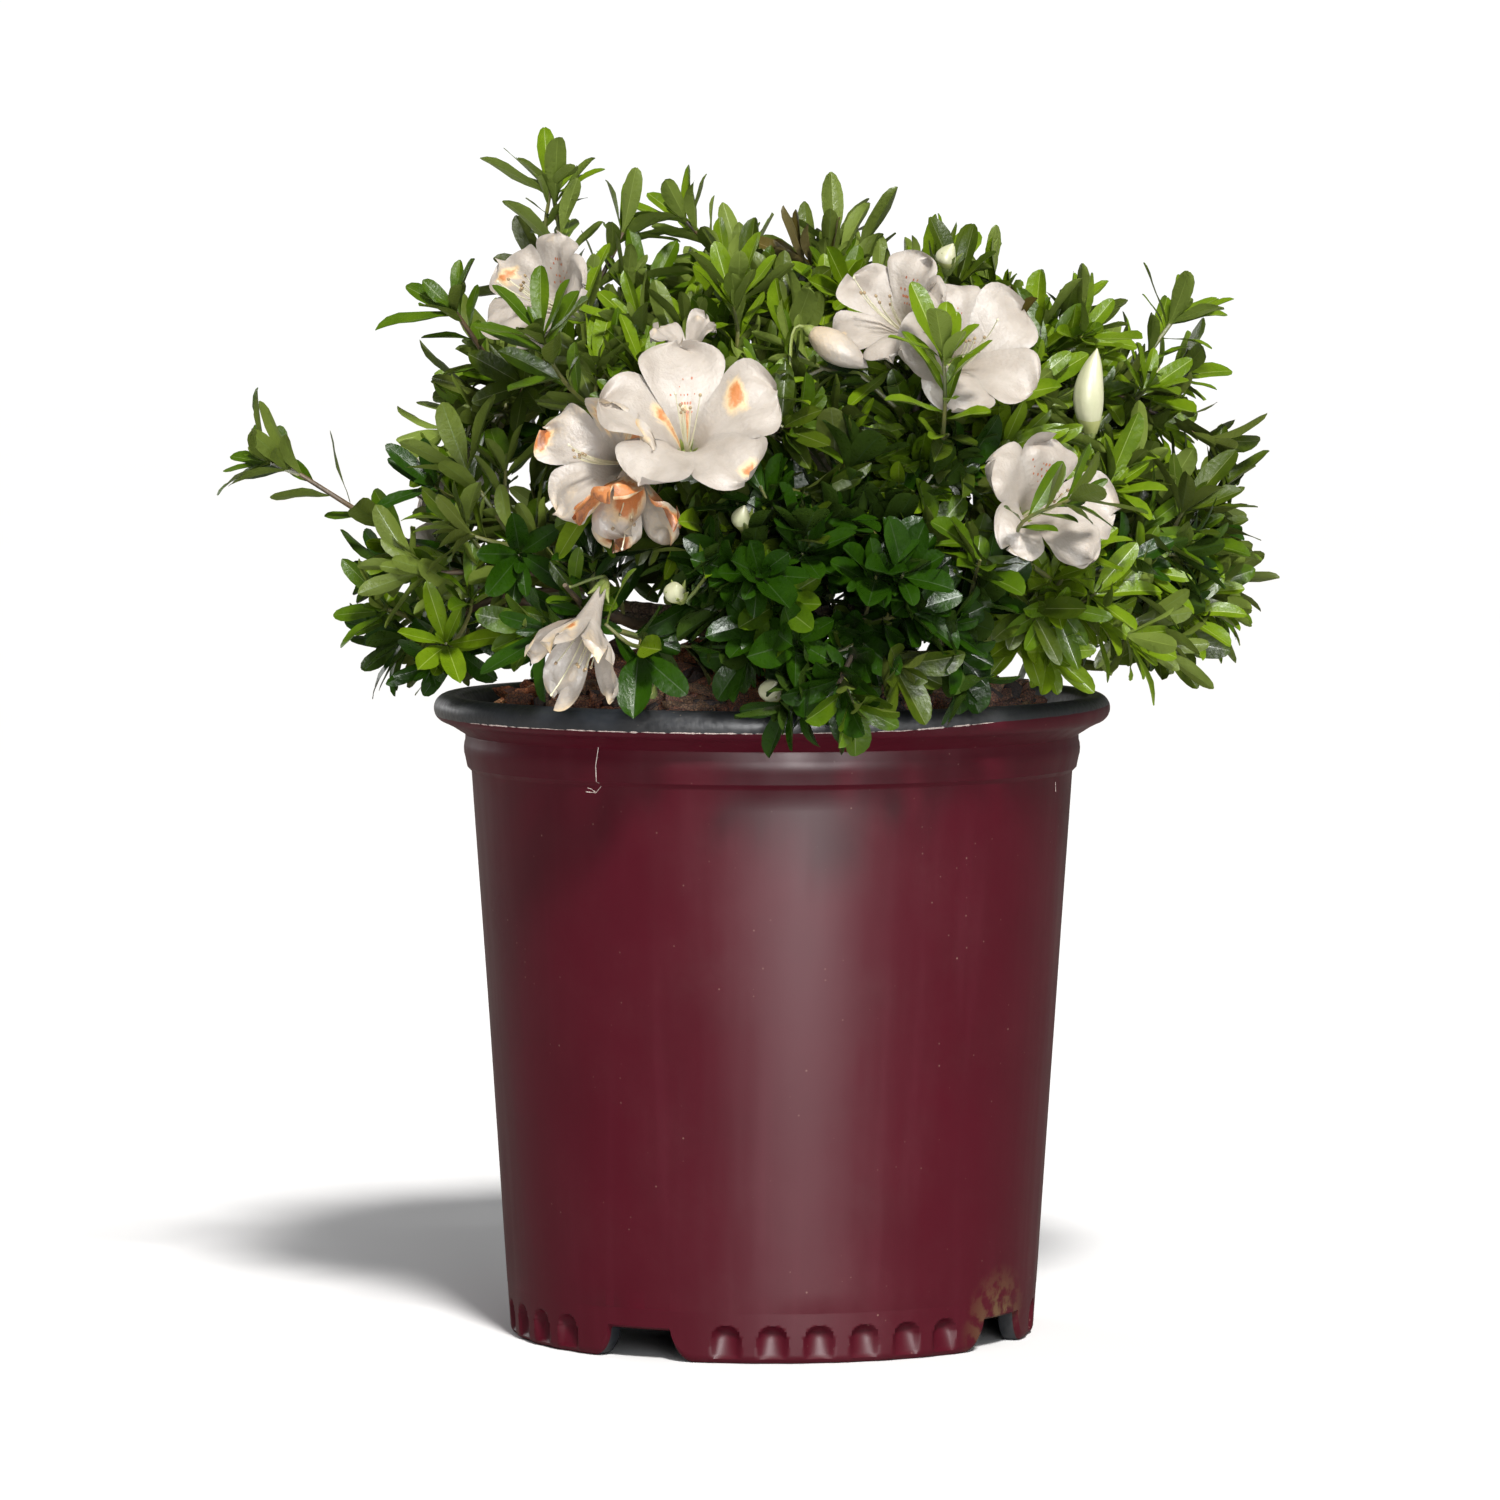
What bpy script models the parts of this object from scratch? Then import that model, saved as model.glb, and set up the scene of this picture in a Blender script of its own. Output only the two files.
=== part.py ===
"""An azalea shrub growing in its round nursery pot, as separate closed solids.

Metres, +Z up.  The origin is the centre of the pot's flat underside, -Y is the front and +X is to the
right of it.  Azimuths are degrees round the pot's axis, from 0 at the front towards +X.
"""

import math
import random

import bmesh
import bpy
from mathutils import Matrix, Vector
from mathutils.bvhtree import BVHTree

GAP = 0.0003

# Pot: a turned shell with a rolled rim, a collar below it and a foot cut by drains and flutes.
POT_SEGMENTS = 40
FOOT_RADIUS = 0.0921
FOOT_ROUNDING = 0.0028
FOOT_DRAFT = 0.0010
SKIRT_WIDTH = 0.0070
BOSS_RADIUS = 0.0280
WALL_TOP_RADIUS = 0.1054
WALL_TOP = 0.1990
WALL_THICKNESS = 0.0022
FLOOR_TOP = 0.0132
COLLAR_RADIUS = 0.1081
COLLAR_MIDDLE = 0.2060
COLLAR_HALF_HEIGHT = 0.0040
RIM_CENTRE_RADIUS = 0.1136
RIM_CENTRE_HEIGHT = 0.2200
RIM_ROLL = 0.0050
DRAIN_AZIMUTHS = (-30.0, 60.0, 150.0, 240.0)
DRAIN_HEIGHT = 0.0105
DRAIN_HALF_TOP = 0.0125
DRAIN_FLARE = 0.0080
FLUTE_PITCH = 10.0
FLUTE_RADIUS = 0.0050
FLUTE_DEPTH = 0.0018
FLUTE_TOP = 0.0125
FLUTE_SIDES = 6
FLUTE_SHOULDER = 50.0
FLUTE_CLEARANCE = 15.0

# Soil: coarse bark heaped a little above the rim.
SOIL_SEGMENTS = 24
SOIL_CLEARANCE = 0.0008
SOIL_EDGE_TOP = 0.2150
SOIL_TOP = 0.2360
SOIL_LUMP = 0.0016
SOIL_SEED = 11

# Trunk: short and hidden, from a flat cut on the soil.
TRUNK_SIDES = 12
TRUNK_BASE = SOIL_TOP + GAP
TRUNK_TOP = 0.2680
TRUNK_FOOT_RADIUS = 0.0115
TRUNK_RADIUS = 0.0090
TRUNK_TOP_RADIUS = 0.0068
TRUNK_FLARE_HEIGHT = 0.0050

# Boughs: one to each mass of foliage.
BOUGH_SIDES = 6
BOUGH_RINGS = 5
BOUGH_COLLAR = 0.0015
BOUGH_RADIUS = 0.0031
BOUGH_TIP_RADIUS = 0.0022
BOUGH_REACH = 0.070
LOW_BOUGH_HEIGHTS = (0.2465, 0.2510)
HIGH_BOUGH_HEIGHT = 0.2605

# Crown: the shoot tips lie near a half ellipsoid about the crown's centre.
CROWN_CENTRE = Vector((0.004, 0.0, 0.248))
CROWN_REACH = Vector((0.152, 0.146, 0.136))
CROWN_LOWEST = -4.0
SEED_RADIUS = 0.120
SHOOTS = 64
SHOOT_SEED = 5
SHOOT_INSET = 0.12
GOLDEN_ANGLE = 180.0 * (3.0 - math.sqrt(5.0))
WALL_MARGIN = 0.0010
TIP_MARGIN = 0.0060
LIMB_MARGIN = 0.0015
BLOOM_MARGIN = 0.0025
RIM_MARGIN = 0.0022

# Masses of foliage: name, azimuth and elevation of their middle, their reach and how low they hang.
MASSES = (
    ("low_front", 8.0, 3.0, 0.97, 0.211),
    ("low_front_right", 52.0, 4.0, 0.97, 0.229),
    ("low_right", 95.0, 4.0, 0.98, 0.229),
    ("low_back_right", 139.0, 4.0, 1.00, 0.222),
    ("low_back", 184.0, 4.0, 0.98, 0.222),
    ("low_back_left", 229.0, 4.0, 0.98, 0.222),
    ("low_left", 272.0, 4.0, 0.92, 0.221),
    ("low_front_left", 317.0, 3.0, 0.96, 0.221),
    ("high_front_left", 340.0, 44.0, 0.95, 0.222),
    ("high_front_right", 38.0, 42.0, 1.00, 0.222),
    ("high_right", 92.0, 38.0, 1.02, 0.222),
    ("high_back_right", 150.0, 44.0, 0.97, 0.222),
    ("high_back_left", 218.0, 44.0, 0.97, 0.222),
    ("high_left", 280.0, 50.0, 0.93, 0.222),
    ("top", 60.0, 84.0, 1.00, 0.222),
)

# Single shoots that shape the crown's outline: where their tips are.
LONG_SHOOTS = (
    Vector((-0.170, -0.012, 0.316)),
    Vector((-0.076, -0.012, 0.398)),
    Vector((-0.080, 0.006, 0.371)),
    Vector((-0.052, 0.000, 0.386)),
    Vector((-0.030, 0.010, 0.390)),
    Vector((-0.110, -0.030, 0.359)),
    Vector((-0.104, 0.000, 0.330)),
    Vector((-0.128, -0.020, 0.274)),
    Vector((-0.134, -0.034, 0.256)),
    Vector((-0.117, -0.050, 0.236)),
    Vector((0.022, 0.010, 0.384)),
    Vector((0.060, 0.002, 0.374)),
    Vector((0.108, -0.010, 0.352)),
    Vector((0.140, -0.012, 0.356)),
    Vector((0.142, 0.004, 0.336)),
    Vector((0.153, -0.012, 0.313)),
    Vector((0.151, -0.004, 0.282)),
    Vector((0.151, 0.014, 0.262)),
    Vector((0.138, -0.016, 0.254)),
    Vector((0.022, -0.142, 0.236)),
    Vector((-0.044, -0.112, 0.250)),
    Vector((-0.016, -0.120, 0.276)),
    Vector((0.062, -0.112, 0.256)),
    Vector((0.008, -0.108, 0.320)),
    Vector((0.040, -0.112, 0.292)),
)

# Twigs and leaves.
TWIG_SIDES = 3
TWIG_TIP_RADIUS = 0.0008
STEM_LENGTH = 0.0060
TWIG_FOOT = 1.6
TWIG_SUNK = 0.2
TWIG_THICKENING = 0.42
FORK_SHARE = 0.42
STATION_SPACING = 0.004
LEAVES_PER_TIP = 5
LEAF_SEED = 400
LEAF_LENGTH = 0.034
LEAF_WIDTH = 0.0170
LEAF_THICKNESS = 0.0011
LEAF_WAIST = 0.56
LEAF_FOLD = 0.12
LEAF_DROOP = 0.10
LEAF_SPACING = 0.0018
LEAF_SETBACK = 0.0006
LEAF_SWAY = 0.20
LEAF_TRIES = (1.0, 1.0, 0.85, 0.7)
LEAF_SPREAD = (0.85, 1.05)
SIDE_LEAVES = 2
SIDE_LEAF_SHARE = 0.55
LEAF_TILT = (40.0, 66.0)

# Blooms: where each funnel starts, the azimuth and elevation it faces, its radius and its depth.
BLOOMS = (
    (Vector((-0.029, -0.120, 0.311)), 3.0, 38.0, 0.0310, 0.0240),
    (Vector((-0.061, -0.112, 0.306)), -38.0, 8.0, 0.0260, 0.0220),
    (Vector((-0.052, -0.126, 0.304)), -14.0, -62.0, 0.0210, 0.0230),
    (Vector((0.044, -0.094, 0.350)), -38.0, 36.0, 0.0270, 0.0220),
    (Vector((0.069, -0.094, 0.346)), 30.0, 24.0, 0.0300, 0.0240),
    (Vector((0.092, -0.108, 0.306)), 28.0, -36.0, 0.0260, 0.0230),
    (Vector((-0.080, -0.062, 0.360)), -62.0, 22.0, 0.0240, 0.0220),
    (Vector((-0.070, -0.122, 0.268)), -22.0, -48.0, 0.0160, 0.0300),
    (Vector((0.108, -0.084, 0.318)), 12.0, 72.0, 0.0070, 0.0280),
)
HIDDEN_BLOOMS = ((118.0, 30.0), (150.0, 54.0), (172.0, 14.0), (205.0, 42.0), (240.0, 20.0))
HIDDEN_BLOOM_SHARE = 0.80
HIDDEN_BLOOM_RADIUS = 0.029
HIDDEN_BLOOM_DEPTH = 0.023
PETALS = 5
PETAL_THICKNESS = 0.0010
THROAT_SHARE = 0.45
THROAT_RADIUS_SHARE = 0.30
NOTCH_RADIUS_SHARE = 0.66
NOTCH_DEPTH_SHARE = 0.78


def clear_scene():
    """Remove every object that the scene starts with."""
    for item in list(bpy.data.objects):
        bpy.data.objects.remove(item, do_unlink=True)


def finish(name, colour, roughness):
    """Return a plain material."""
    material = bpy.data.materials.new(name)
    material.use_nodes = True
    shader = material.node_tree.nodes["Principled BSDF"]
    shader.inputs["Base Color"].default_value = (*colour, 1.0)
    shader.inputs["Roughness"].default_value = roughness
    shader.inputs["Metallic"].default_value = 0.0
    material.diffuse_color = (*colour, 1.0)
    return material


def solid(name, shape, material):
    """Make a shape, which is a list of points and a list of faces, into a scene object."""
    mesh = bpy.data.meshes.new(name)
    mesh.from_pydata([tuple(point) for point in shape[0]], [], shape[1])
    mesh.materials.append(material)
    form = bmesh.new()
    form.from_mesh(mesh)
    bmesh.ops.recalc_face_normals(form, faces=form.faces)
    form.to_mesh(mesh)
    form.free()
    item = bpy.data.objects.new(name, mesh)
    bpy.context.scene.collection.objects.link(item)
    return item


def round_off(item):
    """Shade a round piece smooth, with its real edges kept sharp."""
    item.data.shade_smooth()
    item.data.set_sharp_from_angle(angle=math.radians(35.0))


def heading(azimuth, elevation):
    """Return the unit vector at an azimuth and elevation in degrees."""
    turn = math.radians(azimuth)
    rise = math.radians(elevation)
    return Vector((math.sin(turn) * math.cos(rise), -math.cos(turn) * math.cos(rise), math.sin(rise)))


def joined(shapes):
    """Return one list of points and faces that holds several shapes."""
    points = []
    faces = []
    for shape_points, shape_faces in shapes:
        offset = len(points)
        points += shape_points
        faces += [[offset + corner for corner in face] for face in shape_faces]
    return points, faces


def turned(profile, segments):
    """Turn an outline of (radius, height) that starts and ends on the axis into a closed shape."""
    points = [Vector((0.0, 0.0, profile[0][1])), Vector((0.0, 0.0, profile[-1][1]))]
    rings = []
    for radius, height in profile[1:-1]:
        rings.append(len(points))
        for step in range(segments):
            turn = math.tau * step / segments
            points.append(Vector((radius * math.sin(turn), -radius * math.cos(turn), height)))
    faces = []
    for step in range(segments):
        after = (step + 1) % segments
        faces.append([0, rings[0] + after, rings[0] + step])
        faces.append([1, rings[-1] + step, rings[-1] + after])
        for low, high in zip(rings, rings[1:]):
            faces.append([low + step, low + after, high + after, high + step])
    return points, faces


def tube(path, radii, sides):
    """Sweep a polygon along a path, with a radius at each point and flat ends."""
    first = (path[1] - path[0]).normalized()
    across = first.orthogonal().normalized()
    points = []
    for number, (centre, radius) in enumerate(zip(path, radii)):
        before = path[max(number - 1, 0)]
        after = path[min(number + 1, len(path) - 1)]
        along = (after - before).normalized()
        across = (across - along * across.dot(along)).normalized()
        beside = along.cross(across)
        for side in range(sides):
            turn = math.tau * side / sides
            points.append(centre + radius * (across * math.cos(turn) + beside * math.sin(turn)))
    faces = [list(range(sides))[::-1], list(range(len(points) - sides, len(points)))]
    for ring in range(len(path) - 1):
        for side in range(sides):
            low = ring * sides + side
            low_next = ring * sides + (side + 1) % sides
            faces.append([low, low_next, low_next + sides, low + sides])
    return points, faces


# ---- Pot -------------------------------------------------------------------------------------------


def pot_profile():
    """Return the pot's section: underside, outer wall, rolled rim, inner wall and floor."""
    profile = [(0.0, 0.0), (BOSS_RADIUS, 0.0), (BOSS_RADIUS + FOOT_DRAFT, DRAIN_HEIGHT)]
    profile.append((FOOT_RADIUS - SKIRT_WIDTH - FOOT_DRAFT, DRAIN_HEIGHT))
    profile += [(FOOT_RADIUS - SKIRT_WIDTH, 0.0), (FOOT_RADIUS - FOOT_ROUNDING, 0.0)]
    for turn in (45.0, 90.0):
        angle = math.radians(turn)
        radius = FOOT_RADIUS - FOOT_ROUNDING * (1.0 - math.sin(angle))
        profile.append((radius, FOOT_ROUNDING * (1.0 - math.cos(angle))))
    profile.append((WALL_TOP_RADIUS, WALL_TOP))
    for turn in (-50.0, 0.0, 50.0):
        angle = math.radians(turn)
        radius = COLLAR_RADIUS - COLLAR_HALF_HEIGHT * 0.35 * (1.0 - math.cos(angle))
        profile.append((radius, COLLAR_MIDDLE + COLLAR_HALF_HEIGHT * math.sin(angle)))
    profile.append((RIM_CENTRE_RADIUS - 0.0012, RIM_CENTRE_HEIGHT - RIM_ROLL - 0.0014))
    for turn in (-50.0, 5.0, 60.0, 125.0):
        angle = math.radians(turn)
        radius = RIM_CENTRE_RADIUS + RIM_ROLL * math.cos(angle)
        profile.append((radius, RIM_CENTRE_HEIGHT + RIM_ROLL * math.sin(angle)))
    profile.append((COLLAR_RADIUS - WALL_THICKNESS, COLLAR_MIDDLE + COLLAR_HALF_HEIGHT))
    profile.append((inner_radius(WALL_TOP), WALL_TOP))
    profile.append((inner_radius(FLOOR_TOP), FLOOR_TOP))
    profile.append((0.0, FLOOR_TOP))
    return profile


def wall_radius(height):
    """Return the radius of the sloping outer wall at a height."""
    share = (height - FOOT_ROUNDING) / (WALL_TOP - FOOT_ROUNDING)
    return FOOT_RADIUS + (WALL_TOP_RADIUS - FOOT_RADIUS) * share


def inner_radius(height):
    """Return the radius of the inner wall at a height."""
    return wall_radius(height) - WALL_THICKNESS


def drain_cutter(azimuth):
    """Return the wedge that cuts one drain: flat above, with sides that curve outwards."""
    side = []
    for step in range(5):
        angle = math.radians(22.5 * step)
        across = DRAIN_HALF_TOP + DRAIN_FLARE * (1.0 - math.cos(angle))
        side.append((across, DRAIN_HEIGHT * (1.0 - math.sin(angle))))
    side.append((side[-1][0], -FOOT_ROUNDING))
    outline = side + [(-across, height) for across, height in reversed(side)]
    frame = Matrix.Rotation(math.radians(azimuth), 4, "Z")
    points = []
    for depth in (FOOT_RADIUS - 2.0 * SKIRT_WIDTH, FOOT_RADIUS + SKIRT_WIDTH):
        points += [frame @ Vector((across, -depth, height)) for across, height in outline]
    count = len(outline)
    faces = [list(range(count)), list(range(count, 2 * count))]
    for step in range(count):
        after = (step + 1) % count
        faces.append([step, after, count + after, count + step])
    return points, faces


def flute_cutter(azimuth):
    """Return the round-topped post that cuts one flute into the foot."""
    lean = math.atan2(WALL_TOP_RADIUS - FOOT_RADIUS, WALL_TOP - FOOT_ROUNDING)
    profile = [(0.0, -FOOT_ROUNDING), (FLUTE_RADIUS, -FOOT_ROUNDING)]
    profile.append((FLUTE_RADIUS, FLUTE_TOP - FLUTE_RADIUS))
    angle = math.radians(FLUTE_SHOULDER)
    profile.append((FLUTE_RADIUS * math.cos(angle), FLUTE_TOP - FLUTE_RADIUS * (1.0 - math.sin(angle))))
    profile.append((0.0, FLUTE_TOP))
    points, faces = turned(profile, FLUTE_SIDES)
    outward = FOOT_RADIUS + FLUTE_RADIUS - FLUTE_DEPTH
    frame = Matrix.Rotation(math.radians(azimuth), 4, "Z")
    frame = frame @ Matrix.Translation((0.0, -outward, 0.0)) @ Matrix.Rotation(lean, 4, "X")
    return [frame @ point for point in points], faces


def build_pot(material):
    """Make the pot, with its foot cut by four drains and the flutes between them."""
    pot = solid("pot", turned(pot_profile(), POT_SEGMENTS), material)
    cutters = [drain_cutter(azimuth) for azimuth in DRAIN_AZIMUTHS]
    for number in range(round(360.0 / FLUTE_PITCH)):
        azimuth = number * FLUTE_PITCH
        turns = [abs((azimuth - drain + 180.0) % 360.0 - 180.0) for drain in DRAIN_AZIMUTHS]
        if min(turns) > FLUTE_CLEARANCE:
            cutters.append(flute_cutter(azimuth))
    cutter = solid("pot_foot_cutter", joined(cutters), material)
    cutter.hide_render = True
    cutter.display_type = "WIRE"
    cut = pot.modifiers.new("foot", "BOOLEAN")
    cut.operation = "DIFFERENCE"
    cut.solver = "EXACT"
    cut.object = cutter
    round_off(pot)


# ---- Soil and wood ---------------------------------------------------------------------------------


def soil_height(radius):
    """Return the height of the heaped soil at a distance from the axis."""
    edge = inner_radius(WALL_TOP)
    share = min(radius / edge, 1.0)
    return SOIL_EDGE_TOP + (SOIL_TOP - SOIL_EDGE_TOP) * (1.0 - share ** 3)


def build_soil(material):
    """Make the soil that fills the pot, with a lumpy top round a flat middle."""
    edge = inner_radius(WALL_TOP) - SOIL_CLEARANCE
    profile = [(0.0, FLOOR_TOP + GAP), (inner_radius(FLOOR_TOP) - SOIL_CLEARANCE, FLOOR_TOP + GAP)]
    profile.append((edge, WALL_TOP))
    profile.append((edge, SOIL_EDGE_TOP - 0.002))
    lump_rings = [edge * share for share in (0.94, 0.82, 0.66, 0.48, 0.30)]
    profile += [(radius, soil_height(radius) - SOIL_LUMP) for radius in lump_rings]
    profile.append((TRUNK_FOOT_RADIUS + 0.003, SOIL_TOP))
    profile.append((0.0, SOIL_TOP))
    points, faces = turned(profile, SOIL_SEGMENTS)
    chance = random.Random(SOIL_SEED)
    for point in points:
        radius = math.hypot(point.x, point.y)
        if point.z > SOIL_EDGE_TOP and radius > TRUNK_FOOT_RADIUS + 0.006:
            point.z += SOIL_LUMP * chance.uniform(-1.0, 1.0)
    solid("soil", (points, faces), material)


def trunk_radius(height):
    """Return the radius of the trunk above its root flare."""
    share = (height - TRUNK_BASE) / (TRUNK_TOP - TRUNK_BASE)
    return TRUNK_RADIUS + (TRUNK_TOP_RADIUS - TRUNK_RADIUS) * share


def build_trunk(material):
    """Make the short trunk, flared at its flat foot."""
    path = [Vector((0.0, 0.0, TRUNK_BASE))]
    radii = [TRUNK_FOOT_RADIUS]
    for share in (0.3, 0.6, 1.0):
        height = TRUNK_BASE + TRUNK_FLARE_HEIGHT * share
        path.append(Vector((0.0, 0.0, height)))
        radii.append(trunk_radius(height) + (TRUNK_FOOT_RADIUS - TRUNK_RADIUS) * (1.0 - share) ** 2)
    path.append(Vector((0.0, 0.0, TRUNK_TOP)))
    radii.append(TRUNK_TOP_RADIUS)
    round_off(solid("trunk", tube(path, radii, TRUNK_SIDES), material))


def bezier(start, lift, pull, end, share):
    """Return the point of a cubic curve at a share of its length."""
    rest = 1.0 - share
    return (start * rest ** 3 + lift * (3.0 * rest ** 2 * share)
            + pull * (3.0 * rest * share ** 2) + end * share ** 3)


class Mass:
    """The middle, the space and the bough of one mass of foliage."""

    def __init__(self, number, name, azimuth, elevation, reach, floor):
        self.number = number
        self.name = name
        self.azimuth = azimuth
        self.reach = reach
        self.floor = floor
        self.outward = heading(azimuth, elevation)
        self.seed = CROWN_CENTRE + self.outward * SEED_RADIUS
        self.entry = CROWN_CENTRE + self.outward * BOUGH_REACH
        self.is_low = elevation < 20.0
        self.is_top = elevation > 70.0

    def bough_path(self):
        """Return the bough's line from the trunk to where the mass starts."""
        if self.is_top:
            start = Vector((0.0, 0.0, TRUNK_TOP + GAP))
            leave = Vector((0.0, 0.0, 1.0))
        else:
            height = LOW_BOUGH_HEIGHTS[self.number % 2] if self.is_low else HIGH_BOUGH_HEIGHT
            leave = heading(self.azimuth, 0.0)
            clear_radius = trunk_radius(height - BOUGH_RADIUS) + GAP
            start = leave * clear_radius + Vector((0.0, 0.0, height))
        collar = start + leave * BOUGH_COLLAR
        third = (self.entry - collar).length / 3.0
        lift = collar + leave * third
        pull = self.entry - self.outward * third
        steps = [step / (BOUGH_RINGS - 2) for step in range(BOUGH_RINGS - 1)]
        return [start] + [bezier(collar, lift, pull, self.entry, share) for share in steps]


def bough_radii():
    """Return the bough's radius at each ring."""
    fall = (BOUGH_TIP_RADIUS - BOUGH_RADIUS) / (BOUGH_RINGS - 1)
    return [BOUGH_RADIUS + fall * ring for ring in range(BOUGH_RINGS)]


def build_bough(mass, material):
    """Make one tapering bough."""
    shape = tube(mass.bough_path(), bough_radii(), BOUGH_SIDES)
    round_off(solid("bough_" + mass.name, shape, material))


# ---- The space of each mass ------------------------------------------------------------------------


class Crown:
    """Shares the crown's space out among the masses, the limbs and the blooms."""

    def __init__(self, masses, blooms):
        self.masses = masses
        self.blooms = blooms
        for bloom in blooms:
            bloom.mass = self.owner(bloom.base)
        trunk = (Vector((0.0, 0.0, TRUNK_BASE)), Vector((0.0, 0.0, TRUNK_TOP)))
        self.limbs = [(None, *trunk, TRUNK_FOOT_RADIUS)]
        for mass in masses:
            path = mass.bough_path()
            self.limbs += [(mass, low, high, BOUGH_RADIUS) for low, high in zip(path, path[1:])]
        self.ends = shoot_ends(self)

    def owner(self, point):
        """Return the mass whose seed is nearest to a point."""
        return min(self.masses, key=lambda mass: (point - mass.seed).length)

    def wall(self, point, mass):
        """Return the distance to the nearest wall of a mass's space, and the direction away from it."""
        nearest = (math.inf, Vector((0.0, 0.0, 0.0)))
        for other in self.masses:
            if other is not mass:
                across = (mass.seed - other.seed).normalized()
                margin = (point - (mass.seed + other.seed) / 2.0).dot(across)
                nearest = min(nearest, (margin, across), key=lambda found: found[0])
        return nearest

    def pulled_in(self, point, mass):
        """Move a shoot's tip away from the walls of its mass's space."""
        for _ in range(4):
            margin, away = self.wall(point, mass)
            if margin < TIP_MARGIN:
                point = point + away * (TIP_MARGIN - margin)
        return point

    def is_free(self, point, mass, touches_own):
        """Say whether a mass may fill a point, which may be one on its own bough and blooms or not."""
        if point.z < mass.floor:
            return False
        radius = math.hypot(point.x, point.y)
        rim_reach = RIM_ROLL + RIM_MARGIN
        if radius < RIM_CENTRE_RADIUS + rim_reach and point.z < RIM_CENTRE_HEIGHT + rim_reach:
            return False
        if radius < RIM_CENTRE_RADIUS and point.z < soil_height(radius) + 2.0 * SOIL_LUMP:
            return False
        if self.wall(point, mass)[0] < WALL_MARGIN:
            return False
        for bearer, low, high, thickness in self.limbs:
            if touches_own and bearer is mass:
                continue
            along = high - low
            share = min(max((point - low).dot(along) / along.length_squared, 0.0), 1.0)
            if (point - low - along * share).length < thickness + LIMB_MARGIN:
                return False
        return not any(bloom.holds(point) for bloom in self.blooms
                       if not (touches_own and bloom.mass is mass))


# ---- Blooms ----------------------------------------------------------------------------------------


class Bloom:
    """A five-lobed funnel with a thin wall."""

    def __init__(self, base, azimuth, elevation, radius, depth):
        self.base = base
        self.axis = heading(azimuth, elevation)
        self.radius = radius
        self.depth = depth
        self.mass = None

    def holds(self, point):
        """Say whether a point lies in the bloom or close to it."""
        offset = point - self.base
        along = offset.dot(self.axis)
        if along < 0.002 or along > self.depth + BLOOM_MARGIN:
            return False
        reach = self.radius * min(along / (THROAT_SHARE * self.depth), 1.0) + BLOOM_MARGIN
        return (offset - self.axis * along).length < reach

    def shape(self):
        """Return the funnel's outer and inner skins, joined round the lobes."""
        across = self.axis.orthogonal().normalized()
        beside = self.axis.cross(across)
        count = 2 * PETALS
        points = [self.base - self.axis * 0.001, self.base + self.axis * 0.0025]
        for inset in (0.0, PETAL_THICKNESS):
            for ring in (0, 1):
                for step in range(count):
                    turn = math.tau * step / count
                    is_notch = step % 2 == 0
                    radius = THROAT_RADIUS_SHARE * self.radius
                    height = THROAT_SHARE * self.depth
                    if ring == 1:
                        radius = self.radius * (NOTCH_RADIUS_SHARE if is_notch else 1.0)
                        height = self.depth * (NOTCH_DEPTH_SHARE if is_notch else 1.0)
                    spoke = across * math.cos(turn) + beside * math.sin(turn)
                    sunk = inset if ring == 1 else 1.6 * inset
                    points.append(self.base + spoke * (radius - 0.5 * inset) + self.axis * (height + sunk))
        faces = []
        for step in range(count):
            after = (step + 1) % count
            outer, outer_rim, inner, inner_rim = (2 + count * ring for ring in range(4))
            faces.append([0, outer + after, outer + step])
            faces.append([1, inner + step, inner + after])
            faces.append([outer + step, outer + after, outer_rim + after, outer_rim + step])
            faces.append([inner + after, inner + step, inner_rim + step, inner_rim + after])
            faces.append([outer_rim + step, outer_rim + after, inner_rim + after, inner_rim + step])
        return points, faces


def all_blooms():
    """Return the named blooms and those spaced round the rest of the crown."""
    blooms = [Bloom(*row) for row in BLOOMS]
    for azimuth, elevation in HIDDEN_BLOOMS:
        outward = heading(azimuth, elevation)
        base = CROWN_CENTRE + outward * envelope(outward) * HIDDEN_BLOOM_SHARE
        blooms.append(Bloom(base, azimuth, elevation + 8.0, HIDDEN_BLOOM_RADIUS, HIDDEN_BLOOM_DEPTH))
    return blooms


# ---- Twigs and leaves ------------------------------------------------------------------------------


def envelope(outward):
    """Return how far the shoot tips stand from the crown's centre in a direction."""
    scaled = [outward[axis] / CROWN_REACH[axis] for axis in range(3)]
    return 1.0 / math.sqrt(sum(value * value for value in scaled))


def shoot_ends(crown):
    """Share the blooms and evenly spread shoot tips out among the masses."""
    ends = {mass.name: [] for mass in crown.masses}
    chance = random.Random(SHOOT_SEED)
    lowest = math.sin(math.radians(CROWN_LOWEST))
    for number in range(SHOOTS):
        rise = lowest + (1.0 - lowest) * (number + 0.5) / SHOOTS
        elevation = math.degrees(math.asin(rise)) + chance.uniform(-3.0, 3.0)
        outward = heading(GOLDEN_ANGLE * number + chance.uniform(-3.0, 3.0), elevation)
        mass = crown.owner(CROWN_CENTRE + outward * SEED_RADIUS)
        reach = envelope(outward) * mass.reach * (1.0 - SHOOT_INSET * chance.random())
        tip = crown.pulled_in(CROWN_CENTRE + outward * reach, mass)
        if not any(bloom.holds(tip) for bloom in crown.blooms):
            ends[mass.name].append((tip, None))
    for tip in LONG_SHOOTS:
        mass = crown.owner(tip)
        ends[mass.name].append((crown.pulled_in(tip, mass), None))
    for bloom in crown.blooms:
        ends[bloom.mass.name].append((bloom.base, bloom))
    return ends


def middle_of(ends):
    """Return the middle of some shoot ends."""
    return sum((end[0] for end in ends), Vector()) / len(ends)


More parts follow.
